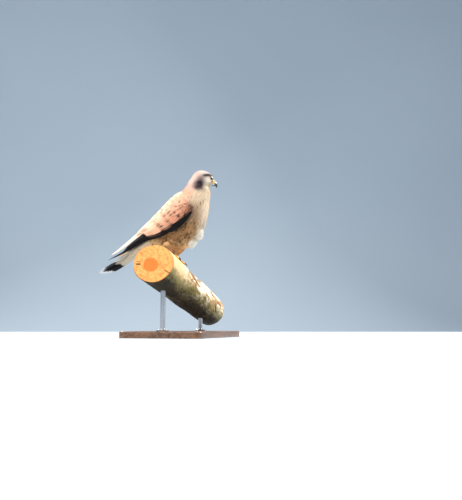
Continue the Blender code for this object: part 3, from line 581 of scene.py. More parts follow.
def lie(point, normal):
    """The way that feathers point at a place on the skin."""
    point = Vector(point)
    _, row = along_body(point)
    way = -Vector(AXIS_WAY[row])
    leg = (1 - smoothstep(28.0, 44.0, point.z)) * smoothstep(-14.0, 0.0, point.x)
    way = way.lerp(Vector((-0.25, 0.0, -1.0)), leg)
    near_head = 1.0 - smoothstep(20.0, 36.0, (point - HEAD_CENTRE).length)
    if near_head > 0.0:
        bill = HEAD_PLACE @ Vector((BILL_ROOT + 2.0, 0.0, 0.0))
        away = (point - bill).normalized()
        way = way.lerp(away, near_head)
    way = way - normal * way.dot(normal)
    return way.normalized() if way.length > 1e-6 else Vector((0.0, 0.0, -1.0))


# Vanes: one flat template is laid down many times and joined into one mesh
class Template:
    """A flat vane as a thin closed sheet: each vertex's place across and its row along, and the faces."""

    def __init__(self, columns, rows, widths, lag, notch, camber, thick):
        """widths and lag are read along the vane; lag says how far its edges trail behind its middle."""
        builder = bmesh.new()
        bmesh.ops.create_grid(builder, x_segments=columns, y_segments=rows, size=1.0)
        bmesh.ops.solidify(builder, geom=builder.faces[:], thickness=1.0)
        bmesh.ops.recalc_face_normals(builder, faces=builder.faces[:])
        builder.verts.ensure_lookup_table()
        self.rows = rows + 1
        self.across = np.array([v.co.x for v in builder.verts])
        self.row = np.array([round((v.co.y + 1) / 2 * rows) for v in builder.verts])
        self.level = np.array([v.co.z for v in builder.verts])
        self.level -= self.level.min()
        self.faces = np.array([[v.index for v in face.verts] for face in builder.faces])
        builder.free()
        self.along = np.linspace(0.0, 1.0, rows + 1)
        self.width = np.interp(self.along, *widths)
        self.lag = np.interp(self.along, *lag)
        column = np.round((self.across + 1) / 2 * columns).astype(int)
        last = self.row == rows
        self.cut = np.where(last, notch * (column % 2), 0.0)
        self.camber = camber
        self.thick = thick


# Vane outlines: places along the vane, and its share of the full width there
ROUND_WIDTHS = ((0.0, 0.25, 0.55, 0.8, 0.92, 1.0), (0.35, 0.8, 1.0, 0.9, 0.7, 0.38))
LONG_WIDTHS = ((0.0, 0.08, 0.3, 0.75, 0.9, 0.97, 1.0), (0.25, 0.6, 0.95, 1.0, 0.93, 0.72, 0.38))
POINTED_WIDTHS = ((0.0, 0.1, 0.3, 0.6, 0.85, 0.96, 1.0), (0.3, 0.65, 1.0, 0.9, 0.58, 0.3, 0.1))
SOFT_WIDTHS = ((0.0, 0.2, 0.5, 0.8, 1.0), (0.4, 0.9, 1.0, 0.66, 0.12))
BLADE_WIDTHS = ((0.0, 0.3, 0.7, 1.0), (0.6, 1.0, 0.7, 0.12))
ROUND_LAG = ((0.0, 0.5, 0.85, 1.0), (0.0, 0.04, 0.12, 0.18))
LONG_LAG = ((0.0, 0.8, 1.0), (0.0, 0.01, 0.03))
BODY_VANE = Template(2, 4, SOFT_WIDTHS, ROUND_LAG, 0.0, 0.10, 0.07)
HEAD_VANE = Template(2, 3, SOFT_WIDTHS, ROUND_LAG, 0.0, 0.10, 0.06)
COVERT_VANE = Template(4, 7, ROUND_WIDTHS, ROUND_LAG, 0.02, 0.12, 0.12)
LONG_VANE = Template(4, 14, LONG_WIDTHS, LONG_LAG, 0.0, 0.14, 0.24)
PRIMARY_VANE = Template(4, 14, POINTED_WIDTHS, LONG_LAG, 0.0, 0.14, 0.3)
DOWN_BLADE = Template(1, 4, BLADE_WIDTHS, ((0.0, 1.0), (0.0, 0.0)), 0.0, 0.0, 0.18)
PLAIN = (0.0, 0.0, 0.0, 0.0)
# How wide a vane's patch is on the map that bakes its colours
BAKE_PATCH = 0.003


class Coat:
    """A piece made of many vanes of one template."""

    def __init__(self, template):
        """Starts with no vanes."""
        self.template = template
        self.centres, self.normals, self.halves, self.sizes = [], [], [], []
        self.roots, self.tips, self.unders, self.signs, self.places = [], [], [], [], []

    def add(self, centres, normals, half, tints, signs, place, under=None):
        """A vane by its rows' centres and normals, its root and tip tints, and its four signs."""
        self.centres.append(centres)
        self.normals.append(normals)
        self.halves.append(half)
        self.roots.append(tints[0])
        self.tips.append(tints[1])
        self.unders.append(under or tints[1])
        self.signs.append(signs)
        self.places.append(place)

    def build(self, name, seed):
        """Lays the template for every vane at once. Signs are spot, streak, fringe and tail band."""
        draw = np.random.default_rng(seed)
        shape = self.template
        centres = np.array(self.centres, float)
        count = len(centres)
        ahead = np.gradient(centres, axis=1)
        length = np.linalg.norm(ahead, axis=2).sum(axis=1)
        ahead /= np.linalg.norm(ahead, axis=2)[:, :, None] + 1e-9
        normals = np.array(self.normals, float)
        normals -= ahead * (normals * ahead).sum(axis=2)[:, :, None]
        normals /= np.linalg.norm(normals, axis=2)[:, :, None] + 1e-9
        sides = np.cross(ahead, normals)
        row = shape.row
        half = np.array(self.halves, float)[:, None]
        reach = half * shape.width[row][None, :] * shape.across[None, :]
        drop = -shape.camber * half * (shape.across**2)[None, :] * shape.width[row][None, :] ** 2
        rise = drop + shape.level[None, :] * shape.thick
        back = length[:, None] * (shape.lag[row] * shape.across**2 + shape.cut)[None, :]
        points = (
            centres[:, row]
            + sides[:, row] * reach[:, :, None]
            + normals[:, row] * rise[:, :, None]
            - ahead[:, row] * back[:, :, None]
        )
        world = np.array(PLACE)
        points = points.reshape(-1, 3) @ world[:3, :3].T + world[:3, 3]
        size = len(row)
        faces = (shape.faces[None, :, :] + (np.arange(count) * size)[:, None, None]).reshape(-1, 4)
        mesh = bpy.data.meshes.new(name)
        mesh.vertices.add(len(points))
        mesh.vertices.foreach_set("co", points.astype(np.float32).ravel())
        mesh.loops.add(faces.size)
        mesh.loops.foreach_set("vertex_index", faces.astype(np.int32).ravel())
        mesh.polygons.add(len(faces))
        mesh.polygons.foreach_set("loop_start", np.arange(0, faces.size, 4, dtype=np.int32))
        mesh.update(calc_edges=True)
        mesh.shade_smooth()
        along = shape.along[row]
        corner = faces.ravel()
        inside = corner % size
        owner = corner // size
        vane = np.stack([(shape.across[inside] + 1) / 2, along[inside]], axis=1)
        layer = mesh.uv_layers.new(name="vane")
        layer.data.foreach_set("uv", vane.astype(np.float32).ravel())
        places = np.array(self.places, float)
        bake = places[owner] + (vane - 0.5) * BAKE_PATCH
        layer = mesh.uv_layers.new(name="OFBake")
        layer.data.foreach_set("uv", np.clip(bake, 0.0, 1.0).astype(np.float32).ravel())
        roots, tips = np.array(self.roots, float), np.array(self.tips, float)
        tint = roots[:, None, :] + (tips - roots)[:, None, :] * along[None, :, None]
        unders = np.repeat(np.array(self.unders, float)[:, None, :], size, axis=1)
        tint = np.where(shape.level[None, :, None] > 0.5, tint, unders)
        chance = np.repeat(draw.random((count, 1, 1)), size, axis=1)
        tint = np.concatenate([tint, chance], axis=2).reshape(-1, 4)
        sign = np.repeat(np.array(self.signs, float)[:, None, :], size, axis=1).reshape(-1, 4)
        note(mesh, "tint", "FLOAT_COLOR", "color", tint)
        note(mesh, "sign", "FLOAT_COLOR", "color", sign)
        return new_object(name, mesh)


def bend_rows(first, middle, last, rows):
    """Points of the smooth curve through three, one for each row."""
    t = np.linspace(0.0, 1.0, rows)[:, None]
    first, middle, last = np.array(first), np.array(middle), np.array(last)
    return first * (1 - t) * (1 - 2 * t) + middle * 4 * t * (1 - t) + last * t * (2 * t - 1)


# The coat over the skin: how many places are tried, and how much more often on the head
TRIED_PLACES = 170000
HEAD_SHARE = 9.0
HEAD_SHARE_REACH = 29.0


def scatter(skin, seed):
    """Places drawn at random over the skin, with the skin's way out at each."""
    draw = np.random.default_rng(seed)
    mesh = skin.data
    mesh.calc_loop_triangles()
    points = np.empty(len(mesh.vertices) * 3)
    mesh.vertices.foreach_get("co", points)
    points = points.reshape(-1, 3)
    faces = np.empty(len(mesh.loop_triangles) * 3, np.int32)
    mesh.loop_triangles.foreach_get("vertices", faces)
    corners = points[faces.reshape(-1, 3)]
    cross = np.cross(corners[:, 1] - corners[:, 0], corners[:, 2] - corners[:, 0])
    area = np.linalg.norm(cross, axis=1) / 2
    middle = corners.mean(axis=1)
    close = np.linalg.norm(middle - np.array(HEAD_CENTRE), axis=1) < HEAD_SHARE_REACH
    weight = area * np.where(close, HEAD_SHARE, 1.0)
    picked = draw.choice(len(area), size=TRIED_PLACES, p=weight / weight.sum())
    a, b = draw.random(TRIED_PLACES), draw.random(TRIED_PLACES)
    flip = a + b > 1
    a[flip], b[flip] = 1 - a[flip], 1 - b[flip]
    base = corners[picked]
    places = base[:, 0] + a[:, None] * (base[:, 1] - base[:, 0]) + b[:, None] * (base[:, 2] - base[:, 0])
    normals = cross[picked] / (2 * area[picked][:, None] + 1e-12)
    return places, normals


def hidden_by_wing(tree, point, normal, way):
    """Whether the wing covers a root from every side."""
    side = normal.cross(way)
    for lean in (normal, normal + way, normal - way * 0.6, normal + side * 0.7, normal - side * 0.7):
        hit = tree.ray_cast(point + normal * 0.2, lean.normalized(), 26.0)
        if hit[0] is None:
            return False
    return True


class Crowd:
    """Roots taken so far, kept in cells so that near ones are found fast."""

    CELL = 2.0

    def __init__(self):
        """Starts empty."""
        self.cells = {}

    def key(self, point):
        """The cell that a point lies in."""
        return tuple(int(math.floor(value / self.CELL)) for value in point)

    def near(self, point, spacing):
        """Whether a root lies closer to a point than the spacing."""
        i, j, k = self.key(point)
        for cell in itertools.product((i - 1, i, i + 1), (j - 1, j, j + 1), (k - 1, k, k + 1)):
            for other in self.cells.get(cell, ()):
                if (other - point).length_squared < spacing * spacing:
                    return True
        return False

    def add(self, point):
        """Takes a root."""
        self.cells.setdefault(self.key(point), []).append(point)


# Pieces of the body's coat, with their vanes
COAT_PIECES = {
    "head_coat": HEAD_VANE,
    "neck_coat": BODY_VANE,
    "back_coat": BODY_VANE,
    "breast_coat": BODY_VANE,
    "belly_coat": BODY_VANE,
}
HEAD_COAT_REACH = 24.5
# Bare rings are left round the eyes and the bill
EYE_BARE = EYE_RADIUS + 0.9
BILL_BARE = 6.4
BILL_MIDDLE = HEAD_PLACE @ Vector((BILL_ROOT + 1.5, 0.0, -0.5))
ROOT_SUNK = 0.8
COVER_SUNK = 2.6


def on_head(point):
    """Whether a point of the skin belongs to the head's coat."""
    return (point - HEAD_CENTRE).length < HEAD_COAT_REACH and point.z > 140.0


def coat_piece(point, normal):
    """The name of the coat's piece that a feather belongs to."""
    if on_head(point):
        return "head_coat"
    if point.z > 112.0:
        return "neck_coat"
    if normal.dot(Vector(AXIS_UP[along_body(point)[1]])) > 0.0:
        return "back_coat"
    return "breast_coat" if point.z > 58.0 else "belly_coat"


def stays_bare(point):
    """Eye rings, bill and the tail's root, which its own coverts dress, carry no small feathers."""
    if min((point - eye.translation).length for eye in EYES.values()) < EYE_BARE:
        return True
    if (point - BILL_MIDDLE).length < BILL_BARE:
        return True
    return point.x < -58.0 and point.z < 40.0 and abs(point.y) < 15.0


def make_body_coat(skin):
    """The small feathers of head, neck, torso and thighs, in pieces by region."""
    skin_tree = BVHTree.FromPolygons(
        [v.co[:] for v in skin.data.vertices], [p.vertices[:] for p in skin.data.polygons]
    )
    cover = bmesh.new()
    for mirror in SIDES.values():
        ring_loft(wing_core(mirror, COVER_SUNK), cover)
    wing_tree = BVHTree.FromBMesh(cover)
    cover.free()
    draw = random.Random(11)
    coats = {name: Coat(vane) for name, vane in COAT_PIECES.items()}
    crowd = Crowd()
    places, normals = scatter(skin, 5)
    for place, normal in zip(places, normals):
        point, normal = Vector(place), Vector(normal)
        length, half, spacing = feather_size(point)
        if crowd.near(point, spacing) or stays_bare(point):
            continue
        way = lie(point, normal)
        if hidden_by_wing(wing_tree, point, normal, way):
            continue
        crowd.add(point)
        tint, marks = plumage(point, normal)
        length *= draw.uniform(0.88, 1.14)
        turn = draw.uniform(-0.16, 0.16)
        way = (way * math.cos(turn) + normal.cross(way) * math.sin(turn)).normalized()
        lift = (0.28 if on_head(point) else 0.60) * draw.uniform(0.7, 1.3)
        middle, middle_out, _, _ = skin_tree.find_nearest(point + way * length * 0.5)
        end, end_out, _, _ = skin_tree.find_nearest(point + way * length)
        coat = coats[coat_piece(point, normal)]
        rows = coat.template.rows
        root = point - normal * ROOT_SUNK
        centres = bend_rows(root, middle + middle_out * lift * 0.75, end + end_out * lift, rows)
        ups = bend_rows(normal, middle_out, end_out, rows)
        tint = shaded(tint, draw, 0.88, 1.10)
        tip = mix(tint, DARK_MARK, 0.94 * dark_marks(end, marks))
        coat.add(centres, ups, half * draw.uniform(0.9, 1.1), (tint, tip), PLAIN, unwrap(point))
    return {name: coat.build(name, 30 + index) for index, (name, coat) in enumerate(coats.items())}


# The folded wings: their pieces, and the tiers that don't go into the coverts' piece
WING_PIECES = {"primaries": PRIMARY_VANE, "flight_feathers": LONG_VANE, "coverts": COVERT_VANE}
TIER_PIECES = {
    "primary": "primaries",
    "long_secondary": "flight_feathers",
    "secondary": "flight_feathers",
    "tertial": "flight_feathers",
    "alula": "flight_feathers",
}
# Each row: tier, count, first and last root (share, across), first and last tip (share, across), half width,
# root height, tip height
WING_TIERS = (
    ("primary", 9, (0.40, 1.02), (0.47, 0.72), (0.985, 0.98), (0.82, 0.76), 6.2, -3.6, -1.5),
    ("long_secondary", 8, (0.44, 0.58), (0.47, 0.16), (0.95, 0.50), (0.70, 0.14), 4.2, -3.6, -0.7),
    ("secondary", 9, (0.38, 1.00), (0.40, 0.46), (0.62, 1.03), (0.66, 0.48), 4.6, -3.6, 0.1),
    ("tertial", 5, (0.38, 0.50), (0.42, 0.12), (0.70, 0.42), (0.64, 0.10), 5.6, -3.4, 0.8),
    ("alula", 4, (0.05, 1.01), (0.09, 0.95), (0.36, 1.06), (0.30, 0.98), 3.2, -3.2, 0.2),
    ("primary_covert", 8, (0.20, 1.05), (0.28, 0.92), (0.40, 1.06), (0.52, 0.97), 3.6, -3.4, 0.2),
    ("greater_covert", 15, (0.27, 0.93), (0.31, 0.30), (0.45, 0.955), (0.48, 0.28), 3.2, -3.2, 0.7),
    ("median_covert", 17, (0.18, 0.94), (0.21, 0.28), (0.345, 0.965), (0.365, 0.27), 2.8, -3.0, 0.7),
    ("lesser_covert", 18, (0.15, 0.95), (0.17, 0.28), (0.285, 0.97), (0.305, 0.27), 2.6, -2.8, 0.7),
    ("lesser_covert", 18, (0.12, 0.96), (0.14, 0.26), (0.24, 0.975), (0.26, 0.25), 2.5, -2.6, 0.7),
    ("lesser_covert", 18, (0.09, 0.96), (0.11, 0.26), (0.20, 0.98), (0.22, 0.25), 2.4, -2.4, 0.7),
    ("lesser_covert", 18, (0.065, 0.96), (0.085, 0.25), (0.165, 0.98), (0.185, 0.24), 2.3, -2.3, 0.7),
    ("lesser_covert", 18, (0.04, 0.97), (0.06, 0.24), (0.13, 0.98), (0.15, 0.24), 2.2, -2.2, 0.6),
    ("lesser_covert", 18, (0.015, 0.97), (0.035, 0.24), (0.095, 0.98), (0.115, 0.24), 2.1, -2.0, 0.6),
    ("lesser_covert", 18, (0.0, 0.98), (0.01, 0.22), (0.06, 0.98), (0.08, 0.22), 2.1, -1.8, 0.5),
    ("lesser_covert", 18, (0.0, 0.98), (0.0, 0.22), (0.03, 0.98), (0.045, 0.22), 2.0, -1.8, 0.4),
    ("long_scapular", 10, (0.27, 0.31), (0.33, 0.04), (0.51, 0.31), (0.55, 0.05), 3.8, -3.0, 1.0),
    ("scapular", 10, (0.21, 0.30), (0.28, 0.04), (0.42, 0.31), (0.47, 0.05), 3.5, -2.8, 1.0),
    ("scapular", 10, (0.15, 0.29), (0.22, 0.04), (0.34, 0.30), (0.39, 0.05), 3.3, -2.6, 0.9),
    ("scapular", 10, (0.10, 0.28), (0.16, 0.03), (0.27, 0.29), (0.32, 0.04), 3.1, -2.4, 0.8),
    ("scapular", 10, (0.05, 0.26), (0.11, 0.03), (0.20, 0.27), (0.25, 0.04), 2.9, -2.2, 0.7),
    ("scapular", 10, (0.01, 0.24), (0.06, 0.03), (0.14, 0.26), (0.18, 0.03), 2.7, -2.0, 0.5),
    ("scapular", 10, (0.0, 0.24), (0.02, 0.03), (0.08, 0.26), (0.12, 0.03), 2.5, -1.8, 0.3),
)


def wing_feather_tints(tier, share, across, draw):
    """Root tint, tip tint, under tint and signs of one feather of the folded wing, by its tip's place."""
    edge = smoothstep(0.90, 0.95, across) * smoothstep(0.11, 0.20, share)
    warm = smoothstep(0.30, 0.95, across) * (1 - 0.5 * smoothstep(0.40, 0.55, share))
    deep = 0.6 * smoothstep(0.70, 0.92, across) * (1 - smoothstep(0.34, 0.46, share))
    # Painted highlight: the wing's upper edge is paled to stand in for rim light
    painted_rim_highlight = 0.35 * (1 - smoothstep(0.0, 0.16, across))
    chestnut = mix(mix(mix(MANTLE_PALE, MANTLE, warm), PALE_FRINGE_AND_HIGHLIGHT, painted_rim_highlight), CHESTNUT, deep)
    if tier in ("primary", "alula", "primary_covert"):
        return FLIGHT_DARK, FLIGHT_DARK, FLIGHT_DARK, PLAIN
    if tier == "long_secondary":
        # Painted highlight: the long secondaries' pale strip along the wing's upper edge to its tip is rim
        # light
        pale = mix(PALE_FRINGE_AND_HIGHLIGHT, MANTLE_PALE, 0.25)
        return mix(pale, MANTLE_PALE, 0.4), pale, pale, (0.0, 0.0, 0.4, 0.0)
    if tier == "secondary":
        tone = mix(chestnut, FLIGHT_DARK, smoothstep(0.88, 0.97, across))
        return tone, tone, tone, (0.5, 0.0, 0.25 * (1 - edge), 0.0)
    if tier == "tertial":
        # The tertials' pale tips are partly pale fringes and partly painted rim light
        pale = mix(chestnut, PALE_FRINGE_AND_HIGHLIGHT, 0.4)
        return chestnut, pale, pale, (0.5 if draw.random() < 0.4 else 0.1, 0.0, 0.3, 0.0)
    # Painted shade on the coverts at the bend of the wing, under the breast's side feathers
    reach = ((share - 0.05) / 0.10) ** 2 + ((across - 0.98) / 0.22) ** 2
    wrist_shade = min(1.0, 1.2 * math.exp(-reach))
    tone = mix(mix(chestnut, WRIST_SHADE, wrist_shade), FLIGHT_DARK, edge)
    low = smoothstep(0.35, 0.85, across)
    spot = (0.45 + 0.5 * low) * (1.0 if draw.random() < 0.16 + 0.34 * low else 0.05)
    tone = shaded(tone, draw, 0.90, 1.08)
    root = mix(tone, DARK_MARK, 0.04 + 0.12 * low)
    fringe = 0.15 * (1 - edge) * (1 - wrist_shade)
    return root, tone, root, (spot * (1 - edge) * (1 - 0.6 * wrist_shade), 0.0, fringe, 0.0)


def make_wing(side):
    """One folded wing's feathers, tier by tier, in three pieces."""
    draw = random.Random(17)
    coats = {name: Coat(vane) for name, vane in WING_PIECES.items()}
    for tier, count, root_a, root_b, tip_a, tip_b, half, root_height, tip_height in WING_TIERS:
        coat = coats[TIER_PIECES.get(tier, "coverts")]
        rows = coat.template.rows
        spread = 0.5 if coat is coats["coverts"] else 0.25
        for index in range(count):
            part = index / (count - 1)
            root = [root_a[k] + (root_b[k] - root_a[k]) * part for k in (0, 1)]
            tip = [tip_a[k] + (tip_b[k] - tip_a[k]) * part for k in (0, 1)]
            if tier == "primary":
                tip[0] -= 0.04 * math.sin(math.pi * part)
                tip[1] += 0.06 * math.sin(math.pi * part)
            tip[0] += draw.uniform(-0.03, 0.03) * spread
            tip[1] += draw.uniform(-0.05, 0.05) * spread
            raised = tip_height + 0.35 * part + draw.uniform(-0.15, 0.15)
            centres, normals = [], []
            for step in range(rows):
                share = step / (rows - 1)
                along = root[0] + (tip[0] - root[0]) * share
                across = root[1] + (tip[1] - root[1]) * share
                height = root_height + (raised - root_height) * share**0.55
                point = wing_surface(along, across, height)
                normal = wing_surface(along, across, height + 1.0) - point
                centres.append((point.x, point.y * -SIDES[side], point.z))
                normals.append((normal.x, normal.y * -SIDES[side], normal.z))
            first, last, under, signs = wing_feather_tints(tier, tip[0], tip[1], draw)
            size = half * draw.uniform(0.94, 1.06)
            coat.add(centres, normals, size, (first, last), signs, unwrap(centres[0]), under)
    return [coat.build(name + "_" + side, 50) for name, coat in coats.items()]


# The tail: its pairs of feathers, where they start, how far each lies out from the last and under it
TAIL_PAIRS = 6
TAIL_VANE_HALF = 6.8
TAIL_VANE_START = 8.0
TAIL_PAIR_OUT = 2.8
TAIL_PAIR_DROP = 1.1
TAIL_COVERT_ROWS = (
    # Face, 1 above and -1 below; count; root; reach; root and tip height; half width; step between feathers
    (1.0, 7, 26.0, 60.0, -1.6, 4.6, 4.6, 4.2),
    (1.0, 7, 36.0, 76.0, -1.8, 3.2, 4.4, 3.8),
    (1.0, 6, 46.0, 90.0, -1.8, 2.2, 4.0, 3.6),
    (-1.0, 7, 28.0, 66.0, -6.0, -9.8, 4.8, 4.2),
    (-1.0, 7, 38.0, 84.0, -5.4, -8.8, 4.6, 3.8),
    (-1.0, 6, 50.0, 98.0, -5.0, -8.2, 4.2, 3.6),
)


def make_tail():
    """The twelve tail feathers and the coverts over and under their roots."""
    turn = TAIL_PLACE.to_3x3()
    feathers = Coat(LONG_VANE)
    rows = LONG_VANE.rows
    draw = random.Random(23)
    for pair in range(TAIL_PAIRS):
        for mirror in SIDES.values():
            out = 1.6 + pair * TAIL_PAIR_OUT
            length = TAIL_LENGTH - 15.0 * (pair / (TAIL_PAIRS - 1)) ** 1.5 + draw.uniform(-0.8, 0.8)
            drop = -TAIL_PAIR_DROP * (pair + (0.35 if mirror < 0 else 0.0))
            centres = []
            for step in range(rows):
                share = step / (rows - 1)
                along = TAIL_VANE_START + (length - TAIL_VANE_START) * share
                across = mirror * out * (0.3 + 0.7 * share**0.8)
                centres.append(TAIL_PLACE @ Vector((along, across, drop - 2.0 * math.sin(math.pi * share))))
            normals = [turn @ Vector((0.0, 0.06 * mirror * pair, 1.0))] * rows
            tints = (mix(TAIL_ABOVE, RUMP, 0.4), TAIL_ABOVE)
            size = TAIL_VANE_HALF * draw.uniform(0.96, 1.04)
            feathers.add(centres, normals, size, tints, (0.0, 0.0, 0.0, 1.0), unwrap(centres[0]), TAIL_BELOW)
    coverts = Coat(COVERT_VANE)
    rows = COVERT_VANE.rows
    for face, count, root, reach, low, high, half, step_across in TAIL_COVERT_ROWS:
        for index in range(count):
            across = (index - (count - 1) / 2) * step_across + draw.uniform(-0.4, 0.4)
            length = reach - 0.10 * across * across + draw.uniform(-2.0, 2.0)
            centres = []
            for step in range(rows):
                share = step / (rows - 1)
                height = low + (high - low) * share**0.5 * (1.0 - 0.35 * share)
                height -= face * 0.03 * across * across
                place = (root + (length - root) * share, across * (0.85 + 0.15 * share), height)
                centres.append(TAIL_PLACE @ Vector(place))
            normals = [turn @ Vector((0.0, 0.05 * across * face, face))] * rows
            tint = shaded(RUMP if face > 0 else PALE_FRINGE_AND_HIGHLIGHT, draw, 0.92, 1.06)
            coverts.add(centres, normals, half, (tint, tint), (0.0, 0.0, 0.3, 0.0), unwrap(centres[0]))
    return [feathers.build("tail_feathers", 60), coverts.build("tail_coverts", 61)]


# Loose white down at the front of the belly and between the legs
DOWN_CLUMPS = (
    # Place, way, blades, length, spread
    ((71.0, -4.0, 52.0), (0.85, -0.20, -0.25), 300, 5.0, 4.5),
    ((67.5, -4.5, 45.0), (0.75, -0.25, -0.40), 520, 6.6, 5.6),
    ((51.5, -7.5, 28.0), (0.55, -0.25, -0.75), 520, 6.6, 5.6),
    ((65.0, 6.0, 45.0), (0.80, 0.25, -0.40), 300, 5.6, 6.0),
    ((49.0, 7.0, 28.0), (0.50, 0.25, -0.80), 300, 5.6, 6.0),
)


def make_down():
    """Thin white blades that fan out in clumps and curl over."""
    draw = random.Random(29)
    coat = Coat(DOWN_BLADE)
    rows = DOWN_BLADE.rows
    for place, way, count, length, spread in DOWN_CLUMPS:
        way = Vector(way).normalized()
        for _ in range(count):
            offset = Vector([draw.gauss(0.0, spread * 0.45) for _ in range(3)])
            offset -= way * offset.dot(way)
            root = Vector(place) + offset - way * (3.0 + 0.10 * offset.length_squared / spread)
            loose = Vector([draw.gauss(0.0, 0.24) for _ in range(3)])
            lean = (way + offset * 0.07 + loose).normalized()
            reach = length * draw.uniform(0.45, 1.0) + 2.0
            reach *= math.exp(-offset.length_squared / (2.6 * spread) ** 2)
            curl = (Vector((-0.35, 0.0, -0.60)) + loose * 1.6) * reach * 0.65
            normal = Vector((0.35, math.copysign(0.5, place[1]), 0.8)) + loose
            middle = root + lean * reach * 0.55
            end = root + lean * reach * 0.9 + curl
            tint = shaded(TUFT_WHITE, draw, 0.97, 1.0)
            coat.add(
                bend_rows(root, middle, end, rows),
                [normal] * rows,
                draw.uniform(0.22, 0.50),
                (mix(tint, BELLY, 0.06), tint),
                PLAIN,
                unwrap(root),
            )
    return coat.build("belly_down", 70)


# Loose feathers of the thighs, hanging over the short legs to the log
SKIRT_COUNT = 170
SKIRT_ROUNDS = 9
SKIRT_TOP = 27.0
SKIRT_REACH = 15.0


def make_skirts():
    """Feathers in a spiral round each leg, from the foot up to the thigh."""
    draw = random.Random(31)
    coat = Coat(BODY_VANE)
    rows = BODY_VANE.rows
    for mirror in SIDES.values():
        hub = foot_hub(mirror)
        for index in range(SKIRT_COUNT):
            turn = 2 * math.pi * (index + draw.uniform(-0.4, 0.4)) / SKIRT_COUNT * SKIRT_ROUNDS
            level = index / (SKIRT_COUNT - 1)
            out = Vector((math.cos(turn), math.sin(turn), 0.0))
            wide = SKIRT_REACH * (0.62 + 0.38 * level)
            high = hub.z + 4.0 + (SKIRT_TOP - hub.z - 4.0) * level
            root = Vector((hub.x + 3.0 * level, hub.y, high + 4.0)) + out * (wide - 4.0)
            end = Vector((hub.x + 0.5, hub.y, high - 9.0)) + out * (wide - 6.0 * (1 - level) - 1.0)
            end.z = max(end.z, hub.z - 1.5)
            middle = root.lerp(end, 0.5) + out * 1.6
            shade = draw.uniform(0.86, 1.06)
            # Higher skirt feathers lean by chance towards the flank brown, which holds painted shade
            tint = tuple(value * shade for value in mix(THIGH, SHADED_FLANK, 0.5 * level * draw.random()))
            coat.add(
                bend_rows(root, middle, end, rows),
                [out] * rows,
                draw.uniform(1.5, 2.3),
                (tint, mix(tint, VENT, 0.3)),
                (0.0, 0.35 if draw.random() < 0.3 else 0.0, 0.1, 0.0),
                unwrap(root),
            )
    return coat.build("thigh_skirts", 71)


# Surfaces that wrap round: a flat grid is laid over a round form
def wrap_grid(columns, rows, place, builder=None):
    """Lays a grid over a form: place(turn, share) gives a point, turn going round and share along."""
    piece = bmesh.new()
    bmesh.ops.create_grid(piece, x_segments=columns, y_segments=rows, size=0.5)
    for vertex in piece.verts:
        vertex.co = place(vertex.co.x + 0.5, vertex.co.y + 0.5)
    bmesh.ops.remove_doubles(piece, verts=piece.verts[:], dist=0.0005)
    bmesh.ops.recalc_face_normals(piece, faces=piece.faces[:])
    if builder is None:
        return piece
    pour(piece, builder)
    return builder


def read_path(path, share):
    """A point at a share of a path's length."""
    index = min(max(share, 0.0), 1.0) * (len(path) - 1)
    low = min(int(index), len(path) - 2)
    return path[low].lerp(path[low + 1], index - low)


def tube(path, radius_of, sides, rows, builder=None):
    """A closed tube along a path, its ends drawn in to a point; radius_of(turn, share) gives its size."""

    def frame_at(share):
        """Two ways square to the path and to each other."""
        ahead = (read_path(path, share + 0.02) - read_path(path, share - 0.02)).normalized()
        side = ahead.cross(Vector((0.0, 0.0, 1.0)))
        if side.length < 0.05:
            side = ahead.cross(Vector((0.0, 1.0, 0.0)))
        side.normalize()
        return side, side.cross(ahead).normalized()

    def place(turn, share):
        """A point of the tube; its first and last rows are its closed ends."""
        row = share * rows
        inner = min(max((row - 1) / (rows - 2), 0.0), 1.0)
        side, up = frame_at(inner)
        size = radius_of(turn, inner) if 0.5 < row < rows - 0.5 else 0.0
        angle = 2 * math.pi * turn
        return read_path(path, inner) + (side * math.cos(angle) + up * math.sin(angle)) * size

    return wrap_grid(sides, rows, place, builder)


# Eyes and their rings
CORNEA_RISE = 0.035
CORNEA_REACH = 0.55


def make_eye(side):
    """An eyeball that swells a little at its clear front, with each vertex's angle off its axis."""
    builder = bmesh.new()
    bmesh.ops.create_uvsphere(builder, u_segments=56, v_segments=40, radius=EYE_RADIUS - 0.05)
    for vertex in builder.verts:
        off_axis = math.atan2(math.hypot(vertex.co.x, vertex.co.y), vertex.co.z)
        vertex.co *= 1.0 + CORNEA_RISE * math.exp(-((off_axis / CORNEA_REACH) ** 2))
    off_axes = [math.atan2(math.hypot(v.co.x, v.co.y), v.co.z) for v in builder.verts]
    builder.transform(EYES[side])
    eye = settle(builder, "eyeball_" + side)
    note(eye.data, "off_axis", "FLOAT", "value", off_axes)
    return eye


def make_eye_ring(side):
    """The bare yellow skin round the eye, as a soft fold with fine wrinkles, a little longer than high."""

    def place(way, share):
        """A point round the ring and round its fold."""
        angle, around = 2 * math.pi * way, 2 * math.pi * share
        wrinkle = 0.05 * math.sin(31 * angle) * math.cos(around)
        thick = 0.50 + 0.12 * math.cos(2 * angle) + wrinkle
        reach = LID_RADIUS + 0.25 + thick * math.cos(around)
        height = 4.15 - 0.25 * math.cos(2 * angle) + thick * math.sin(around)
        return Vector((reach * math.cos(angle) * 1.03, reach * math.sin(angle) * 0.97, height))

    builder = wrap_grid(110, 14, place)
    builder.transform(EYES[side])
    return settle(builder, "eye_ring_" + side)


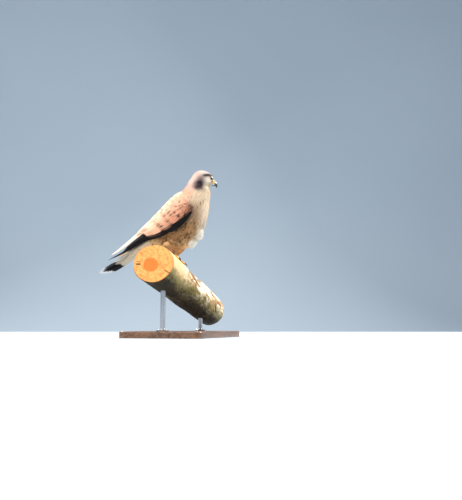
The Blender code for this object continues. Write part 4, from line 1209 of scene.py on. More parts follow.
# The bill. Each row: reach from the root, height, slope in degrees, upper half, lower half, half width
CERE_STATIONS = (
    (0.3, 1.6, 0.0, 6.2, 3.3, 6.1),
    (2.0, 1.7, -2.0, 6.0, 3.2, 5.7),
    (4.0, 1.6, -6.0, 5.4, 3.1, 5.2),
    (5.6, 1.3, -10.0, 4.7, 3.0, 4.9),
)
UPPER_BILL_STATIONS = (
    (5.0, 1.2, -9.0, 3.9, 2.6, 4.1),
    (6.2, 1.1, -12.0, 4.3, 2.9, 4.5),
    (8.0, 0.7, -20.0, 4.0, 2.8, 4.1),
    (9.8, -0.2, -32.0, 3.4, 2.7, 3.5),
    (11.4, -1.6, -48.0, 2.7, 2.3, 2.7),
    (12.5, -3.4, -64.0, 2.0, 1.7, 1.9),
    (13.0, -5.3, -78.0, 1.2, 1.1, 1.1),
    (13.1, -7.0, -86.0, 0.35, 0.3, 0.35),
)
LOWER_BILL_STATIONS = (
    (0.3, -3.6, 0.0, 2.4, 2.6, 4.7),
    (2.8, -3.6, 0.0, 2.2, 2.4, 4.3),
    (5.4, -3.5, 4.0, 1.9, 2.0, 3.6),
    (7.6, -3.2, 7.0, 1.4, 1.5, 2.6),
    (9.0, -2.9, 9.0, 0.6, 0.9, 1.5),
)
BILL_REACH = 17.0
NOSTRIL = Vector((BILL_ROOT + 3.3, 5.0, 3.3))


def bend_point(stations, turn, share):
    """A point round a bend's ring, in the head's frame."""
    place = share * (len(stations) - 1)
    row = [float(np.interp(place, range(len(stations)), column)) for column in zip(*stations)]
    length, height, slope, upper, lower, half = row
    angle = 2 * math.pi * turn + math.pi
    rise = math.cos(angle)
    up = (upper if rise > 0 else lower) * rise
    tilt = math.radians(slope)
    return Vector(
        (BILL_ROOT + length - math.sin(tilt) * up, half * math.sin(angle), height + math.cos(tilt) * up)
    )


def bill_surface(stations, columns, rows, relief):
    """A closed bill part: its ends drawn in to points, its skin moved out by relief(point, turn, share)."""
    fine = [tuple(row) for row in smooth_rows(stations, 40)]

    def place(turn, share):
        """A point of the part; its first and last rows are its closed ends."""
        inner = min(max((share * rows - 1) / (rows - 2), 0.0), 1.0)
        point = bend_point(fine, turn, inner)
        middle = (bend_point(fine, 0.0, inner) + bend_point(fine, 0.5, inner)) / 2
        if share * rows < 0.5 or share * rows > rows - 0.5:
            return middle
        out = (point - middle).normalized()
        return point + out * relief(point, turn, inner)

    builder = wrap_grid(columns, rows, place)
    builder.transform(HEAD_PLACE)
    return builder


def mark_reach(piece):
    """Notes how far out along the bill each vertex lies, for the horn's colour."""
    mesh = piece.data
    to_head = TO_HEAD @ TO_BIRD
    reach = []
    for vertex in mesh.vertices:
        point = to_head @ vertex.co
        reach.append((point.x - BILL_ROOT + 0.9 * max(0.0, -point.z)) / BILL_REACH)
    note(mesh, "reach", "FLOAT", "value", reach)
    return piece


def make_cere():
    """The cere, with a round nostril on each side that has a rim and a small peg in it."""

    def relief(point, turn, share):
        """How far the skin stands out."""
        side = Vector((point.x, abs(point.y), point.z))
        gap = (side - NOSTRIL).length
        hole = -1.5 * math.exp(-((gap / 0.85) ** 4))
        rim = 0.28 * math.exp(-(((gap - 1.35) / 0.4) ** 2))
        peg = 0.9 * math.exp(-((gap / 0.3) ** 2))
        swell = 0.22 * math.sin(math.pi * share) * max(0.0, math.cos(2 * math.pi * turn + math.pi))
        return hole + rim + peg + swell + 0.03 * noise.noise(point * 2.3)

    return settle(bill_surface(CERE_STATIONS, 96, 34, relief), "cere_skin")


def make_upper_bill():
    """The hooked upper bill, with a falcon's tooth and the notch ahead of it on each cutting edge."""

    def relief(point, turn, share):
        """How far the horn stands out."""
        low = math.exp(-(((abs(turn - 0.5) - 0.34) / 0.06) ** 2))
        tooth = 0.42 * math.exp(-(((share - 0.60) / 0.05) ** 2))
        tooth -= 0.30 * math.exp(-(((share - 0.72) / 0.05) ** 2))
        return low * tooth + 0.02 * noise.noise(Vector((point.x * 0.6, point.y * 3.0, point.z * 0.6)))

    return mark_reach(settle(bill_surface(UPPER_BILL_STATIONS, 64, 46, relief), "bill_hook"))


def make_lower_bill():
    """The lower bill, plain and blunt."""
    builder = bill_surface(LOWER_BILL_STATIONS, 48, 26, lambda point, turn, share: 0.0)
    return mark_reach(settle(builder, "bill_underside"))


def make_mouth_line(side):
    """The soft yellow edge of the mouth, from the bill's root back below the eye."""
    mirror = SIDES[side]
    path = [
        HEAD_PLACE @ Vector(point)
        for point in (
            (BILL_ROOT + 2.2, 5.0 * mirror, -2.0),
            (BILL_ROOT - 0.5, 7.2 * mirror, -2.2),
            (18.6, 9.6 * mirror, -2.6),
            (15.6, 12.2 * mirror, -3.3),
        )
    ]
    rows = [Vector(row) for row in smooth_rows([tuple(point) for point in path], 20)]
    return settle(tube(rows, lambda turn, share: 0.62 * (1.0 - 0.55 * share), 12, 26), "mouth_edge_" + side)


# The log
def log_centre(along):
    """A point of the log's middle line."""
    return Vector((0.0, along, -LOG_RADIUS - along * math.tan(math.radians(LOG_FALL))))


def log_radius(along, angle):
    """The log tapers, and is a little lumpy away from the bird's feet."""
    taper = LOG_TAPER * (along - LOG_NEAR) / (LOG_FAR - LOG_NEAR)
    lumps = 0.5 * math.sin(3 * angle + along / 31.0) + 0.35 * math.sin(5 * angle - along / 17.0 + 1.0)
    return LOG_RADIUS - taper + lumps * min(1.0, abs(along) / 45.0)


def log_point(along, angle, height=0.0):
    """A point over the bark: angle 0 is the crest, and positive angles go down the front."""
    reach = log_radius(along, angle) + height
    return log_centre(along) + Vector((math.sin(angle) * reach, 0.0, math.cos(angle) * reach))


def cut_face():
    """The way that the log's near end faces."""
    fall, turn = math.radians(LOG_FALL), math.radians(LOG_CUT_TURN)
    return Vector((math.sin(turn), -math.cos(turn) * math.cos(fall), math.cos(turn) * math.sin(fall)))


def near_end(angle, share_out=1.0):
    """How far along the log its near end lies, at an angle and a share of the radius."""
    face = cut_face()
    reach = LOG_RADIUS * share_out
    off = Vector((math.sin(angle) * reach, 0.0, math.cos(angle) * reach))
    way = Vector((0.0, 1.0, -math.tan(math.radians(LOG_FALL))))
    return LOG_NEAR - off.dot(face) / way.dot(face)


LOG_SIDES = 220
LOG_ROWS = 300
END_ROWS = 44
# The sawn faces' outermost ring lies this share of the radius out
END_SHARE = 0.985
# The warp of the bark's pattern is drawn by chance from this seed
BARK_SEED = 42
BARK_DEPTH = 1.9
GAP_DEPTH = 3.2
# Cracks of the sawn end: degrees from the top, width in degrees at the rim, and where they start and end
END_CRACKS = (
    (-94.0, 2.2, 0.62, 0.93),
    (120.0, 1.3, 0.62, 1.10),
    (-84.0, 0.9, 0.66, 0.90),
    (-52.0, 0.8, 0.80, 0.95),
)
# Deep gaps in the bark: along, degrees from the crest, half length, half width, slant in degrees
BARK_GAPS = (
    (-20.0, 39.0, 12.0, 1.3, 35.0),
    (54.0, 70.0, 23.0, 2.1, 33.0),
    (76.0, 82.0, 10.0, 1.3, 12.0),
    (112.0, 58.0, 14.0, 1.3, 16.0),
    (138.0, 96.0, 12.0, 1.5, 40.0),
    (176.0, 66.0, 18.0, 1.6, 22.0),
    (206.0, 112.0, 12.0, 2.0, 40.0),
    (232.0, 88.0, 18.0, 1.6, 28.0),
    (18.0, -64.0, 16.0, 1.5, -24.0),
    (92.0, -92.0, 20.0, 2.0, -18.0),
    (160.0, -50.0, 17.0, 1.6, -30.0),
    (214.0, -104.0, 14.0, 1.5, 12.0),
    (70.0, 168.0, 22.0, 1.8, 8.0),
    (182.0, -160.0, 20.0, 1.7, -10.0),
)


def bark_relief(along, angle):
    """How far the bark lies under its outermost skin, and which of its two layers shows there."""
    x, z = math.sin(angle) * LOG_RADIUS, math.cos(angle) * LOG_RADIUS
    place = Vector((x, along, z))
    warp = noise.noise_vector(place * 0.045) * 1.1 + noise.noise_vector(place * 0.14) * 0.35
    base = Vector((x * 0.085, along * 0.030, z * 0.085)) + warp
    seam = 1.0 - smoothstep(0.0, 0.075, abs(noise.noise(base * 1.15)))
    patch = smoothstep(-0.12, 0.22, noise.noise(base * 0.5 + Vector((3.0, 1.0, 7.0))))
    layer = smoothstep(-0.05, 0.02, noise.noise(base * 0.8 + Vector((20.0, 5.0, 2.0))))
    grain = 0.5 + 0.5 * noise.noise(Vector((x * 0.7, along * 0.11, z * 0.7)))
    rough = 0.5 + 0.5 * noise.noise(place * 0.27)
    ragged = smoothstep(-66.0, 30.0, along + 24.0 * warp.x)
    depth = (0.75 * seam * patch + 0.42 * layer) * ragged + 0.20 * grain + 0.30 * rough
    deep = 0.0
    for middle, turn, long, wide, slant in BARK_GAPS:
        ahead = along - middle
        if abs(ahead) > 1.3 * long:
            continue
        round_it = math.remainder(angle - math.radians(turn), 2 * math.pi) * LOG_RADIUS
        tilt = math.radians(slant)
        down = ahead * math.cos(tilt) + round_it * math.sin(tilt)
        off = round_it * math.cos(tilt) - ahead * math.sin(tilt) + 2.4 * noise.noise(place * 0.16)
        deep = max(deep, math.exp(-((off / wide) ** 2)) * (1.0 - smoothstep(0.55, 1.0, abs(down) / long)))
    return BARK_DEPTH * min(1.0, depth) * (1.0 - deep) + GAP_DEPTH * deep, layer * ragged


def make_log():
    """The log as one closed skin: a sawn end, the bark and a second sawn end, with its material's notes."""
    total = LOG_ROWS + 2 * END_ROWS
    told = {}
    noise.seed_set(BARK_SEED)

    def sawn_end(angle, out):
        """Along, reach and crack at a share of the near end's radius."""
        along = near_end(angle, out * END_SHARE)
        rough = noise.noise(Vector((math.sin(angle) * 3.0, out * 2.0, math.cos(angle) * 3.0)))
        crack = 0.0
        for middle, width, start, end in END_CRACKS:
            gap = (math.degrees(angle) - middle) * out / width
            reach = smoothstep(start, start + 0.08, out) * smoothstep(end, end - 0.06, out)
            crack = max(crack, math.exp(-gap * gap) * reach)
        return along + (0.3 + 0.2 * rough + 2.5 * crack), log_radius(along, angle) * out * END_SHARE, crack

    def place(turn, share):
        """A point of the log, row by row from the near end's middle to the far end's."""
        row = share * total
        angle = 2 * math.pi * turn - math.pi
        sawn, depth, crack, layer = 1.0, 0.0, 0.0, 0.0
        if row < END_ROWS:
            along, reach, crack = sawn_end(angle, row / END_ROWS)
        elif row > total - END_ROWS:
            out = (total - row) / END_ROWS
            rough = noise.noise(Vector((math.sin(angle) * 3, out * 2, math.cos(angle) * 3)))
            along = LOG_FAR - 0.25 - 0.2 * rough
            reach = log_radius(LOG_FAR, angle) * out * END_SHARE
        else:
            start = near_end(angle)
            part = (row - END_ROWS) / LOG_ROWS
            along = start + (LOG_FAR - start) * part
            ends = smoothstep(0.0, 0.006, part) * smoothstep(0.0, 0.006, 1 - part)
            foot = math.exp(-((along / 34.0) ** 2)) * math.exp(-((angle / 0.9) ** 2))
            depth, layer = bark_relief(along, angle)
            depth *= (1 - 0.75 * foot) * ends
            reach = log_radius(along, angle) - depth - 0.5 * (1 - ends)
            sawn, depth = 0.0, depth / BARK_DEPTH
        point = log_centre(along) + Vector((math.sin(angle) * reach, 0.0, math.cos(angle) * reach))
        told[tuple(round(value, 2) for value in point)] = (sawn, depth, crack, layer)
        return point

    builder = wrap_grid(LOG_SIDES, total, place)
    tilt = math.tan(math.radians(LOG_FALL))
    placed = [(v.co.x, v.co.y, v.co.z + LOG_RADIUS + v.co.y * tilt) for v in builder.verts]
    notes = [told.get(tuple(round(value, 2) for value in v.co), (1.0, 0.0, 0.0, 0.0)) for v in builder.verts]
    log = settle(builder, "bark_log")
    note(log.data, "log_place", "FLOAT_VECTOR", "vector", placed)
    for label, values in zip(("sawn", "bark_depth", "crack", "bark_layer"), zip(*notes)):
        note(log.data, label, "FLOAT", "value", values)
    return log


# Feet
FOOT_VOXEL = 0.5
SCUTE_LENGTH = 2.1
TOE_STEPS = 24
# How closely the toes' middle lines are read, to find how far along a toe a point of the skin lies
TOE_READINGS = 80


def foot_hub(mirror):
    """The middle of a foot, a little above the bark."""
    return log_point(FOOT_SPREAD * mirror, FOOT_ANGLE, TOE_RADIUS + 1.6)


def toe_point(mirror, turn, reach, height):
    """A point over the bark, at a turn and a reach from the foot's middle."""
    heading = math.radians(turn)
    angle = FOOT_ANGLE + math.cos(heading) * reach / (LOG_RADIUS + TOE_RADIUS)
    along = (FOOT_SPREAD + math.sin(heading) * reach) * mirror
    return log_point(along, angle, height)


def make_foot(side):
    """Toes, the foot's middle and the short bare leg as one skin, with scutes on top and pads below."""
    mirror = SIDES[side]
    hub = foot_hub(mirror)
    builder = bmesh.new()
    place = Matrix.Translation(hub) @ Matrix.Diagonal((4.5, 4.3, 3.3, 1.0))
    bmesh.ops.create_uvsphere(builder, u_segments=32, v_segments=20, radius=1.0, matrix=place)
    leg = [hub.lerp(hub + Vector((1.4, 0.0, 9.0)), step / 8) for step in range(9)]
    tube(leg, lambda turn, share: 2.95 - 0.2 * share, 24, 20, builder)
    paths = []
    for _, turn, length, _ in TOES:
        path = []
        for step in range(TOE_STEPS + 1):
            share = step / TOE_STEPS
            lift = TOE_RADIUS - 0.15 + 1.2 * max(0.0, 1 - share * 2.2)
            path.append(toe_point(mirror, turn, length * share, lift))
        paths.append((path, length))

        def radius_of(way, share):
            """A toe thins towards its claw, with pads below."""
            pads = 0.16 * math.cos(2 * math.pi * share * length / 6.5)
            return TOE_RADIUS * (1.02 - 0.22 * share) + pads * max(0.0, -math.sin(2 * math.pi * way) + 0.4)

        tube(path, radius_of, 24, 44, builder)
    foot, builder = one_surface(builder, "foot_skin_" + side, FOOT_VOXEL)
    builder.normal_update()
    samples, owners = [], []
    for path, length in paths:
        for step in range(TOE_READINGS):
            share = step / (TOE_READINGS - 1)
            samples.append(read_path(path, share))
            owners.append(length * step / (TOE_READINGS - 1))
    samples = np.array(samples)
    moved, scales = [], []
    for vertex in builder.verts:
        gaps = ((samples - np.array(vertex.co)) ** 2).sum(axis=1)
        nearest = int(gaps.argmin())
        reach = owners[nearest]
        out = Vector(samples[nearest]) - log_centre(vertex.co.y)
        top = smoothstep(0.0, 0.7, vertex.normal.dot(out.normalized()))
        phase = (reach / SCUTE_LENGTH) % 1.0
        scute = 0.30 * (1 - phase) ** 0.6 - 0.14
        pebbles = 0.12 * noise.noise(vertex.co * 1.7)
        moved.append((vertex, vertex.normal * (scute * top + pebbles * (1 - top))))
        scales.append(phase * top)
    for vertex, way in moved:
        vertex.co += way
    builder.normal_update()
    builder.to_mesh(foot.data)
    builder.free()
    foot.data.transform(PLACE)
    foot.data.shade_smooth()
    note(foot.data, "scute", "FLOAT", "value", scales)
    return foot


def make_claws(side):
    """The four claws of a foot, arched over the bark and sharp."""
    builder = bmesh.new()
    for _, turn, length, claw in TOES:
        path = []
        for step in range(TOE_STEPS + 1):
            share = step / TOE_STEPS
            height = TOE_RADIUS * (1 - share) + 0.75 * share + 1.9 * math.sin(math.pi * share**0.75)
            path.append(toe_point(SIDES[side], turn, length - 0.8 + 0.9 * claw * share, height))

        def radius_of(way, share):
            """A claw thins to its point and is a little flat at its sides."""
            flat = 1.0 - 0.12 * abs(math.cos(2 * math.pi * way))
            return (1.5 * (1 - share) ** 0.75 + 0.08) * flat

        tube(path, radius_of, 20, 30, builder)
    return settle(builder, "claws_" + side)


# The stand, and how far along the log each rod stands
BASE_LENGTH = 300.0
BASE_WIDTH = 176.0
BASE_THICK = 14.0
BASE_CORNER = 18.0
BASE_EDGE = 3.0
BASE_TOP = -PERCH_HEIGHT + BASE_THICK
ROD_RADIUS = 5.0
ROD_PLACES = {"front": -34.0, "back": 196.0}


def rounded(builder, edges, radius, segments):
    """Rounds some edges to a radius."""
    bmesh.ops.bevel(
        builder, geom=edges, offset=radius, offset_type="OFFSET", segments=segments, profile=0.5,
        affect="EDGES", material=-1,
    )


def make_base():
    """The wooden base, its corners round and its top edge eased."""
    builder = bmesh.new()
    size = Matrix.Diagonal((BASE_WIDTH, BASE_LENGTH, BASE_THICK, 1.0))
    place = Matrix.Translation((0.0, BASE_CENTRE_Y, -PERCH_HEIGHT + BASE_THICK / 2))
    bmesh.ops.create_cube(builder, size=1.0, matrix=place @ size)
    upright = []
    for edge in builder.edges:
        low, high = edge.verts
        if abs(low.co.z - high.co.z) > BASE_THICK / 2:
            upright.append(edge)
    rounded(builder, upright, BASE_CORNER, 16)
    rim = [edge for edge in builder.edges if all(abs(v.co.z - BASE_TOP) < 0.01 for v in edge.verts)]
    rounded(builder, rim, BASE_EDGE, 6)
    base = settle(builder, "stand_board")
    base.data.set_sharp_from_angle(angle=math.radians(40.0))
    return base


def make_rod(name):
    """A rod up to the log, with a low turned collar where it stands on the base."""
    along = ROD_PLACES[name]
    height = log_centre(along).z - LOG_RADIUS * 0.9 - BASE_TOP
    # Reach from the rod's middle, and height over the base
    profile = (
        (0.0, 0.05),
        (11.0, 0.05),
        (12.0, 1.0),
        (12.0, 2.6),
        (11.2, 3.4),
        (ROD_RADIUS + 1.4, 4.0),
        (ROD_RADIUS, 5.2),
        (ROD_RADIUS, height),
        (0.0, height),
    )
    builder = bmesh.new()
    chain = [builder.verts.new((reach, 0.0, rise)) for reach, rise in profile]
    edges = [builder.edges.new(pair) for pair in zip(chain, chain[1:])]
    bmesh.ops.spin(
        builder, geom=chain + edges, axis=(0, 0, 1), cent=(0, 0, 0), steps=64, angle=2 * math.pi,
        use_merge=True,
    )
    bmesh.ops.remove_doubles(builder, verts=builder.verts[:], dist=0.001)
    builder.transform(Matrix.Translation((0.0, along, BASE_TOP)))
    rod = settle(builder, "stand_rod_" + name + "_turned")
    rod.data.set_sharp_from_angle(angle=math.radians(35.0))
    return rod


# Finishes: materials, and short ways to add their nodes
class Finish:
    """A material being made."""

    def __init__(self, name, roughness=0.6, **values):
        """values are set on the shader's own sockets, their names with _ for a space."""
        self.material = bpy.data.materials.new(name)
        self.material.use_nodes = True
        self.tree = self.material.node_tree
        self.shader = self.tree.nodes["Principled BSDF"]
        self.shader.inputs["Roughness"].default_value = roughness
        for label, value in values.items():
            self.shader.inputs[label.replace("_", " ")].default_value = value

    def node(self, kind, **settings):
        """A node of a kind, with its settings."""
        made = self.tree.nodes.new(kind)
        for label, value in settings.items():
            setattr(made, label, value)
        return made

    def fill(self, socket, value):
        """Links a socket or sets its value."""
        if isinstance(value, bpy.types.NodeSocket):
            self.tree.links.new(value, socket)
        elif isinstance(value, tuple) and len(value) == 3 and socket.type == "RGBA":
            socket.default_value = (*value, 1.0)
        else:
            socket.default_value = value

    def math(self, operation, *values):
        """The result of a piece of arithmetic."""
        made = self.node("ShaderNodeMath", operation=operation)
        for socket, value in zip(made.inputs, values):
            self.fill(socket, value)
        return made.outputs[0]

    def step(self, value, low, high, low_out=0.0, high_out=1.0):
        """A soft step from low to high; low may be the larger."""
        made = self.node("ShaderNodeMapRange", interpolation_type="SMOOTHSTEP")
        for socket, number in zip(made.inputs, (value, low, high, low_out, high_out)):
            self.fill(socket, number)
        return made.outputs[0]

    def mix(self, share, first, second, blend="MIX"):
        """A share of the second colour over the first."""
        made = self.node("ShaderNodeMix", data_type="RGBA", blend_type=blend)
        self.fill(made.inputs["Factor"], share)
        self.fill(made.inputs[6], first)
        self.fill(made.inputs[7], second)
        return made.outputs[2]

    def attribute(self, name):
        """A value kept on the mesh."""
        return self.node("ShaderNodeAttribute", attribute_name=name)

    def place(self, scale=(1.0, 1.0, 1.0), location=(0.0, 0.0, 0.0), rotation=(0.0, 0.0, 0.0), source=None):
        """Object coordinates, or another vector, turned and stretched for a pattern."""
        made = self.node("ShaderNodeMapping")
        self.fill(made.inputs["Vector"], source or self.node("ShaderNodeTexCoord").outputs["Object"])
        made.inputs["Scale"].default_value = scale
        made.inputs["Location"].default_value = location
        made.inputs["Rotation"].default_value = rotation
        return made.outputs[0]

    def noise(self, vector, scale, detail=3.0, roughness=0.55, distortion=0.0):
        """Soft clouds from 0 to 1."""
        made = self.node("ShaderNodeTexNoise")
        labels = ("Vector", "Scale", "Detail", "Roughness", "Distortion")
        for label, value in zip(labels, (vector, scale, detail, roughness, distortion)):
            self.fill(made.inputs[label], value)
        return made.outputs["Fac"]

    def cells(self, vector, scale):
        """How far each point lies from the middle of its cell."""
        made = self.node("ShaderNodeTexVoronoi")
        self.fill(made.inputs["Vector"], vector)
        self.fill(made.inputs["Scale"], scale)
        return made.outputs["Distance"]

    def round_gap(self, first, second):
        """How far a place lies from the middle, from its two coordinates."""
        squares = self.math("POWER", first, 2.0), self.math("POWER", second, 2.0)
        return self.math("SQRT", self.math("ADD", *squares))

    def ramp(self, value, *stops):
        """Colours at places along a value."""
        made = self.node("ShaderNodeValToRGB")
        self.fill(made.inputs[0], value)
        band = made.color_ramp
        while len(band.elements) < len(stops):
            band.elements.new(0.5)
        for element, (place, tint) in zip(band.elements, stops):
            element.position = place
            element.color = (*tint, 1.0)
        return made.outputs[0]

    def bump(self, height, distance, strength=1.0):
        """Fine relief, its depth in metres."""
        made = self.node("ShaderNodeBump")
        self.fill(made.inputs["Height"], height)
        made.inputs["Distance"].default_value = distance
        made.inputs["Strength"].default_value = strength
        self.tree.links.new(made.outputs[0], self.shader.inputs["Normal"])

    def colour(self, value):
        """The surface's colour."""
        self.fill(self.shader.inputs["Base Color"], value)

    def gloss(self, value):
        """The surface's roughness."""
        self.fill(self.shader.inputs["Roughness"], value)


def feather_finish(name, barb_bump):
    """Vanes: tint and signs come with the mesh, the rest is drawn over each vane's own map."""
    finish = Finish(name, 0.72, Sheen_Weight=0.05, Specular_IOR_Level=0.14)
    tint = finish.attribute("tint")
    sign = finish.attribute("sign")
    signs = finish.node("ShaderNodeSeparateColor")
    finish.fill(signs.inputs[0], sign.outputs["Color"])
    spot, streak, fringe = signs.outputs
    vane = finish.node("ShaderNodeUVMap", uv_map="vane").outputs[0]
    parts = finish.node("ShaderNodeSeparateXYZ")
    finish.fill(parts.inputs[0], vane)
    signed = finish.math("MULTIPLY_ADD", parts.outputs[0], 2.0, -1.0)
    across = finish.math("ABSOLUTE", signed)
    along = parts.outputs[1]
    chance = tint.outputs["Alpha"]
    ragged = finish.noise(finish.place((9.0, 5.0, 1.0), source=vane), 1.0, 2.0)
    shake = finish.math("MULTIPLY_ADD", ragged, 0.3, -0.15)

    # Barbs run out and towards the tip from the shaft
    slant = finish.math("MULTIPLY_ADD", across, -0.28, along)
    lines = finish.node("ShaderNodeCombineXYZ")
    finish.fill(lines.inputs[0], finish.math("MULTIPLY", slant, 46.0))
    outward = finish.math("MULTIPLY", across, 2.2)
    finish.fill(lines.inputs[1], finish.math("MULTIPLY_ADD", chance, 20.0, outward))
    barbs = finish.noise(lines.outputs[0], 1.0, 2.0)
    dark_barbs = finish.step(barbs, 0.3, 0.7, 0.0, 0.30)
    colour = finish.mix(dark_barbs, tint.outputs["Color"], (0.62, 0.60, 0.60), "MULTIPLY")
    colour = finish.mix(finish.math("MULTIPLY", chance, 0.22), colour, (0.72, 0.68, 0.66), "MULTIPLY")

    # The pale fringe
    pale = finish.math("MAXIMUM", finish.step(across, 0.72, 1.0), finish.step(along, 0.88, 0.99))
    colour = finish.mix(finish.math("MULTIPLY", pale, fringe), colour, PALE_FRINGE_AND_HIGHLIGHT)

    # A dark spot near the tip, a little to one side
    bent = finish.math("ADD", signed, finish.math("MULTIPLY_ADD", chance, 0.5, -0.25))
    spot_across = finish.math("DIVIDE", bent, finish.math("MULTIPLY_ADD", chance, 0.5, 0.44))
    spot_along = finish.math("DIVIDE", finish.math("SUBTRACT", along, 0.78), 0.19)
    reach = finish.round_gap(spot_across, spot_along)
    mark = finish.step(finish.math("MULTIPLY_ADD", shake, 2.2, reach), 1.25, 0.55)
    colour = finish.mix(finish.math("MULTIPLY", mark, spot), colour, DARK_MARK)

    # A dark drop along the shaft, widest near the tip
    swell = finish.step(along, 0.30, 0.84, 0.05, 0.34)
    swell = finish.math("MULTIPLY", swell, finish.step(along, 0.985, 0.90))
    edge = finish.math("SUBTRACT", finish.math("MULTIPLY_ADD", shake, 0.4, across), swell)
    drop = finish.math("MULTIPLY", finish.step(edge, 0.07, -0.05), finish.step(along, 0.2, 0.45))
    colour = finish.mix(finish.math("MULTIPLY", drop, streak), colour, DARK_MARK)

    # The tail's black band and white tip
    wobble = finish.math("MULTIPLY_ADD", shake, 0.05, along)
    black = finish.math("MULTIPLY", finish.step(wobble, 0.755, 0.78), finish.step(wobble, 0.962, 0.95))
    white = finish.step(wobble, 0.95, 0.962)
    band = sign.outputs["Alpha"]
    colour = finish.mix(finish.math("MULTIPLY", black, band), colour, TAIL_BLACK)
    colour = finish.mix(finish.math("MULTIPLY", white, band), colour, TAIL_TIP)

    # The shaft
    shaft = finish.step(along, 0.96, 0.86, 0.0, 0.45)
    shaft = finish.math("MULTIPLY", finish.step(across, 0.075, 0.03), shaft)
    colour = finish.mix(shaft, colour, (0.45, 0.40, 0.38), "MULTIPLY")
    finish.colour(colour)
    height = finish.math("ADD", barbs, finish.math("MULTIPLY", finish.step(across, 0.09, 0.02), 0.8))
    finish.bump(height, barb_bump, 0.7)
    return finish.material


def skin_finish():
    """Down and feather roots between the vanes."""
    finish = Finish("feather_roots", 0.85, Sheen_Weight=0.1, Specular_IOR_Level=0.2)
    tint = finish.attribute("tint").outputs["Color"]
    fluff = finish.noise(finish.place(), 900.0, 4.0, 0.7)
    patches = finish.noise(finish.place(), 160.0, 3.0)
    colour = finish.mix(finish.step(fluff, 0.35, 0.7), tint, (0.62, 0.58, 0.55), "MULTIPLY")
    colour = finish.mix(finish.step(patches, 0.4, 0.7, 0.0, 0.35), colour, (0.66, 0.63, 0.62), "MULTIPLY")
    finish.colour(colour)
    finish.bump(fluff, 0.0006, 0.8)
    return finish.material


def eye_finish():
    """A wet eye: a black pupil in a brown iris nearly as dark."""
    finish = Finish("wet_eye", 0.04, Coat_Weight=1.0, Coat_Roughness=0.02, IOR=1.40)
    off_axis = finish.attribute("off_axis").outputs["Fac"]
    rays = finish.noise(finish.place(), 2600.0, 2.0)
    edge = finish.math("MULTIPLY_ADD", rays, 0.05, off_axis)
    iris = finish.mix(finish.step(rays, 0.35, 0.7), paint(28, 14, 9), paint(52, 28, 16))
    colour = finish.mix(finish.step(edge, 0.36, 0.40), paint(4, 4, 5), iris)
    colour = finish.mix(finish.step(edge, 0.78, 0.86), colour, paint(16, 11, 10))
    finish.colour(colour)
    return finish.material


def bare_skin_finish(name, base, deep):
    """Bare skin with pores."""
    finish = Finish(name, 0.42, Subsurface_Weight=0.12, Subsurface_Scale=0.002)
    patches = finish.noise(finish.place(), 420.0, 3.0)
    pores = finish.cells(finish.place(), 2600.0)
    colour = finish.mix(finish.step(patches, 0.35, 0.7), base, deep)
    colour = finish.mix(finish.step(pores, 0.25, 0.0, 0.0, 0.35), colour, deep)
    finish.colour(colour)
    finish.gloss(finish.step(patches, 0.3, 0.7, 0.36, 0.52))
    finish.bump(pores, 0.00012, 0.6)
    return finish.material


def horn_finish():
    """Blue-grey horn that darkens to black at the hook."""
    finish = Finish("bill_horn", 0.24, Coat_Weight=0.4, Coat_Roughness=0.12)
    share = finish.attribute("reach").outputs["Fac"]
    streaks = finish.noise(finish.place(), 900.0, 4.0, 0.6)
    colour = finish.ramp(
        finish.math("MULTIPLY_ADD", streaks, 0.16, finish.math("ADD", share, -0.08)),
        (0.0, paint(196, 196, 186)),
        (0.30, paint(150, 156, 166)),
        (0.52, paint(70, 76, 90)),
        (0.74, paint(24, 26, 32)),
    )
    finish.colour(colour)
    finish.gloss(finish.step(streaks, 0.3, 0.7, 0.18, 0.34))
    finish.bump(streaks, 0.00008, 0.5)
    return finish.material


def foot_finish():
    """Yellow scaly skin, darker in the seams between scutes."""
    finish = Finish("scaly_foot", 0.48, Subsurface_Weight=0.08, Subsurface_Scale=0.002)
    phase = finish.attribute("scute").outputs["Fac"]
    patches = finish.noise(finish.place(), 380.0, 3.0)
    grains = finish.cells(finish.place(), 1700.0)
    colour = finish.mix(finish.step(patches, 0.35, 0.7), paint(236, 190, 84), paint(214, 156, 52))
    seams = finish.step(phase, 0.86, 0.97, 0.0, 0.6)
    colour = finish.mix(seams, colour, paint(132, 92, 40))
    colour = finish.mix(finish.step(grains, 0.15, 0.0, 0.0, 0.4), colour, paint(150, 106, 48))
    finish.colour(colour)
    finish.gloss(finish.step(patches, 0.3, 0.7, 0.40, 0.58))
    finish.bump(grains, 0.00018, 0.6)
    return finish.material


def claw_finish():
    """Black horn with faint streaks along it."""
    finish = Finish("claw_horn", 0.22, Coat_Weight=0.5, Coat_Roughness=0.1)
    streaks = finish.noise(finish.place((1.0, 1.0, 3.0)), 1100.0, 3.0)
    finish.colour(finish.mix(finish.step(streaks, 0.35, 0.7), paint(20, 18, 20), paint(52, 46, 44)))
    finish.gloss(finish.step(streaks, 0.3, 0.7, 0.18, 0.34))
    finish.bump(streaks, 0.00006, 0.5)
    return finish.material


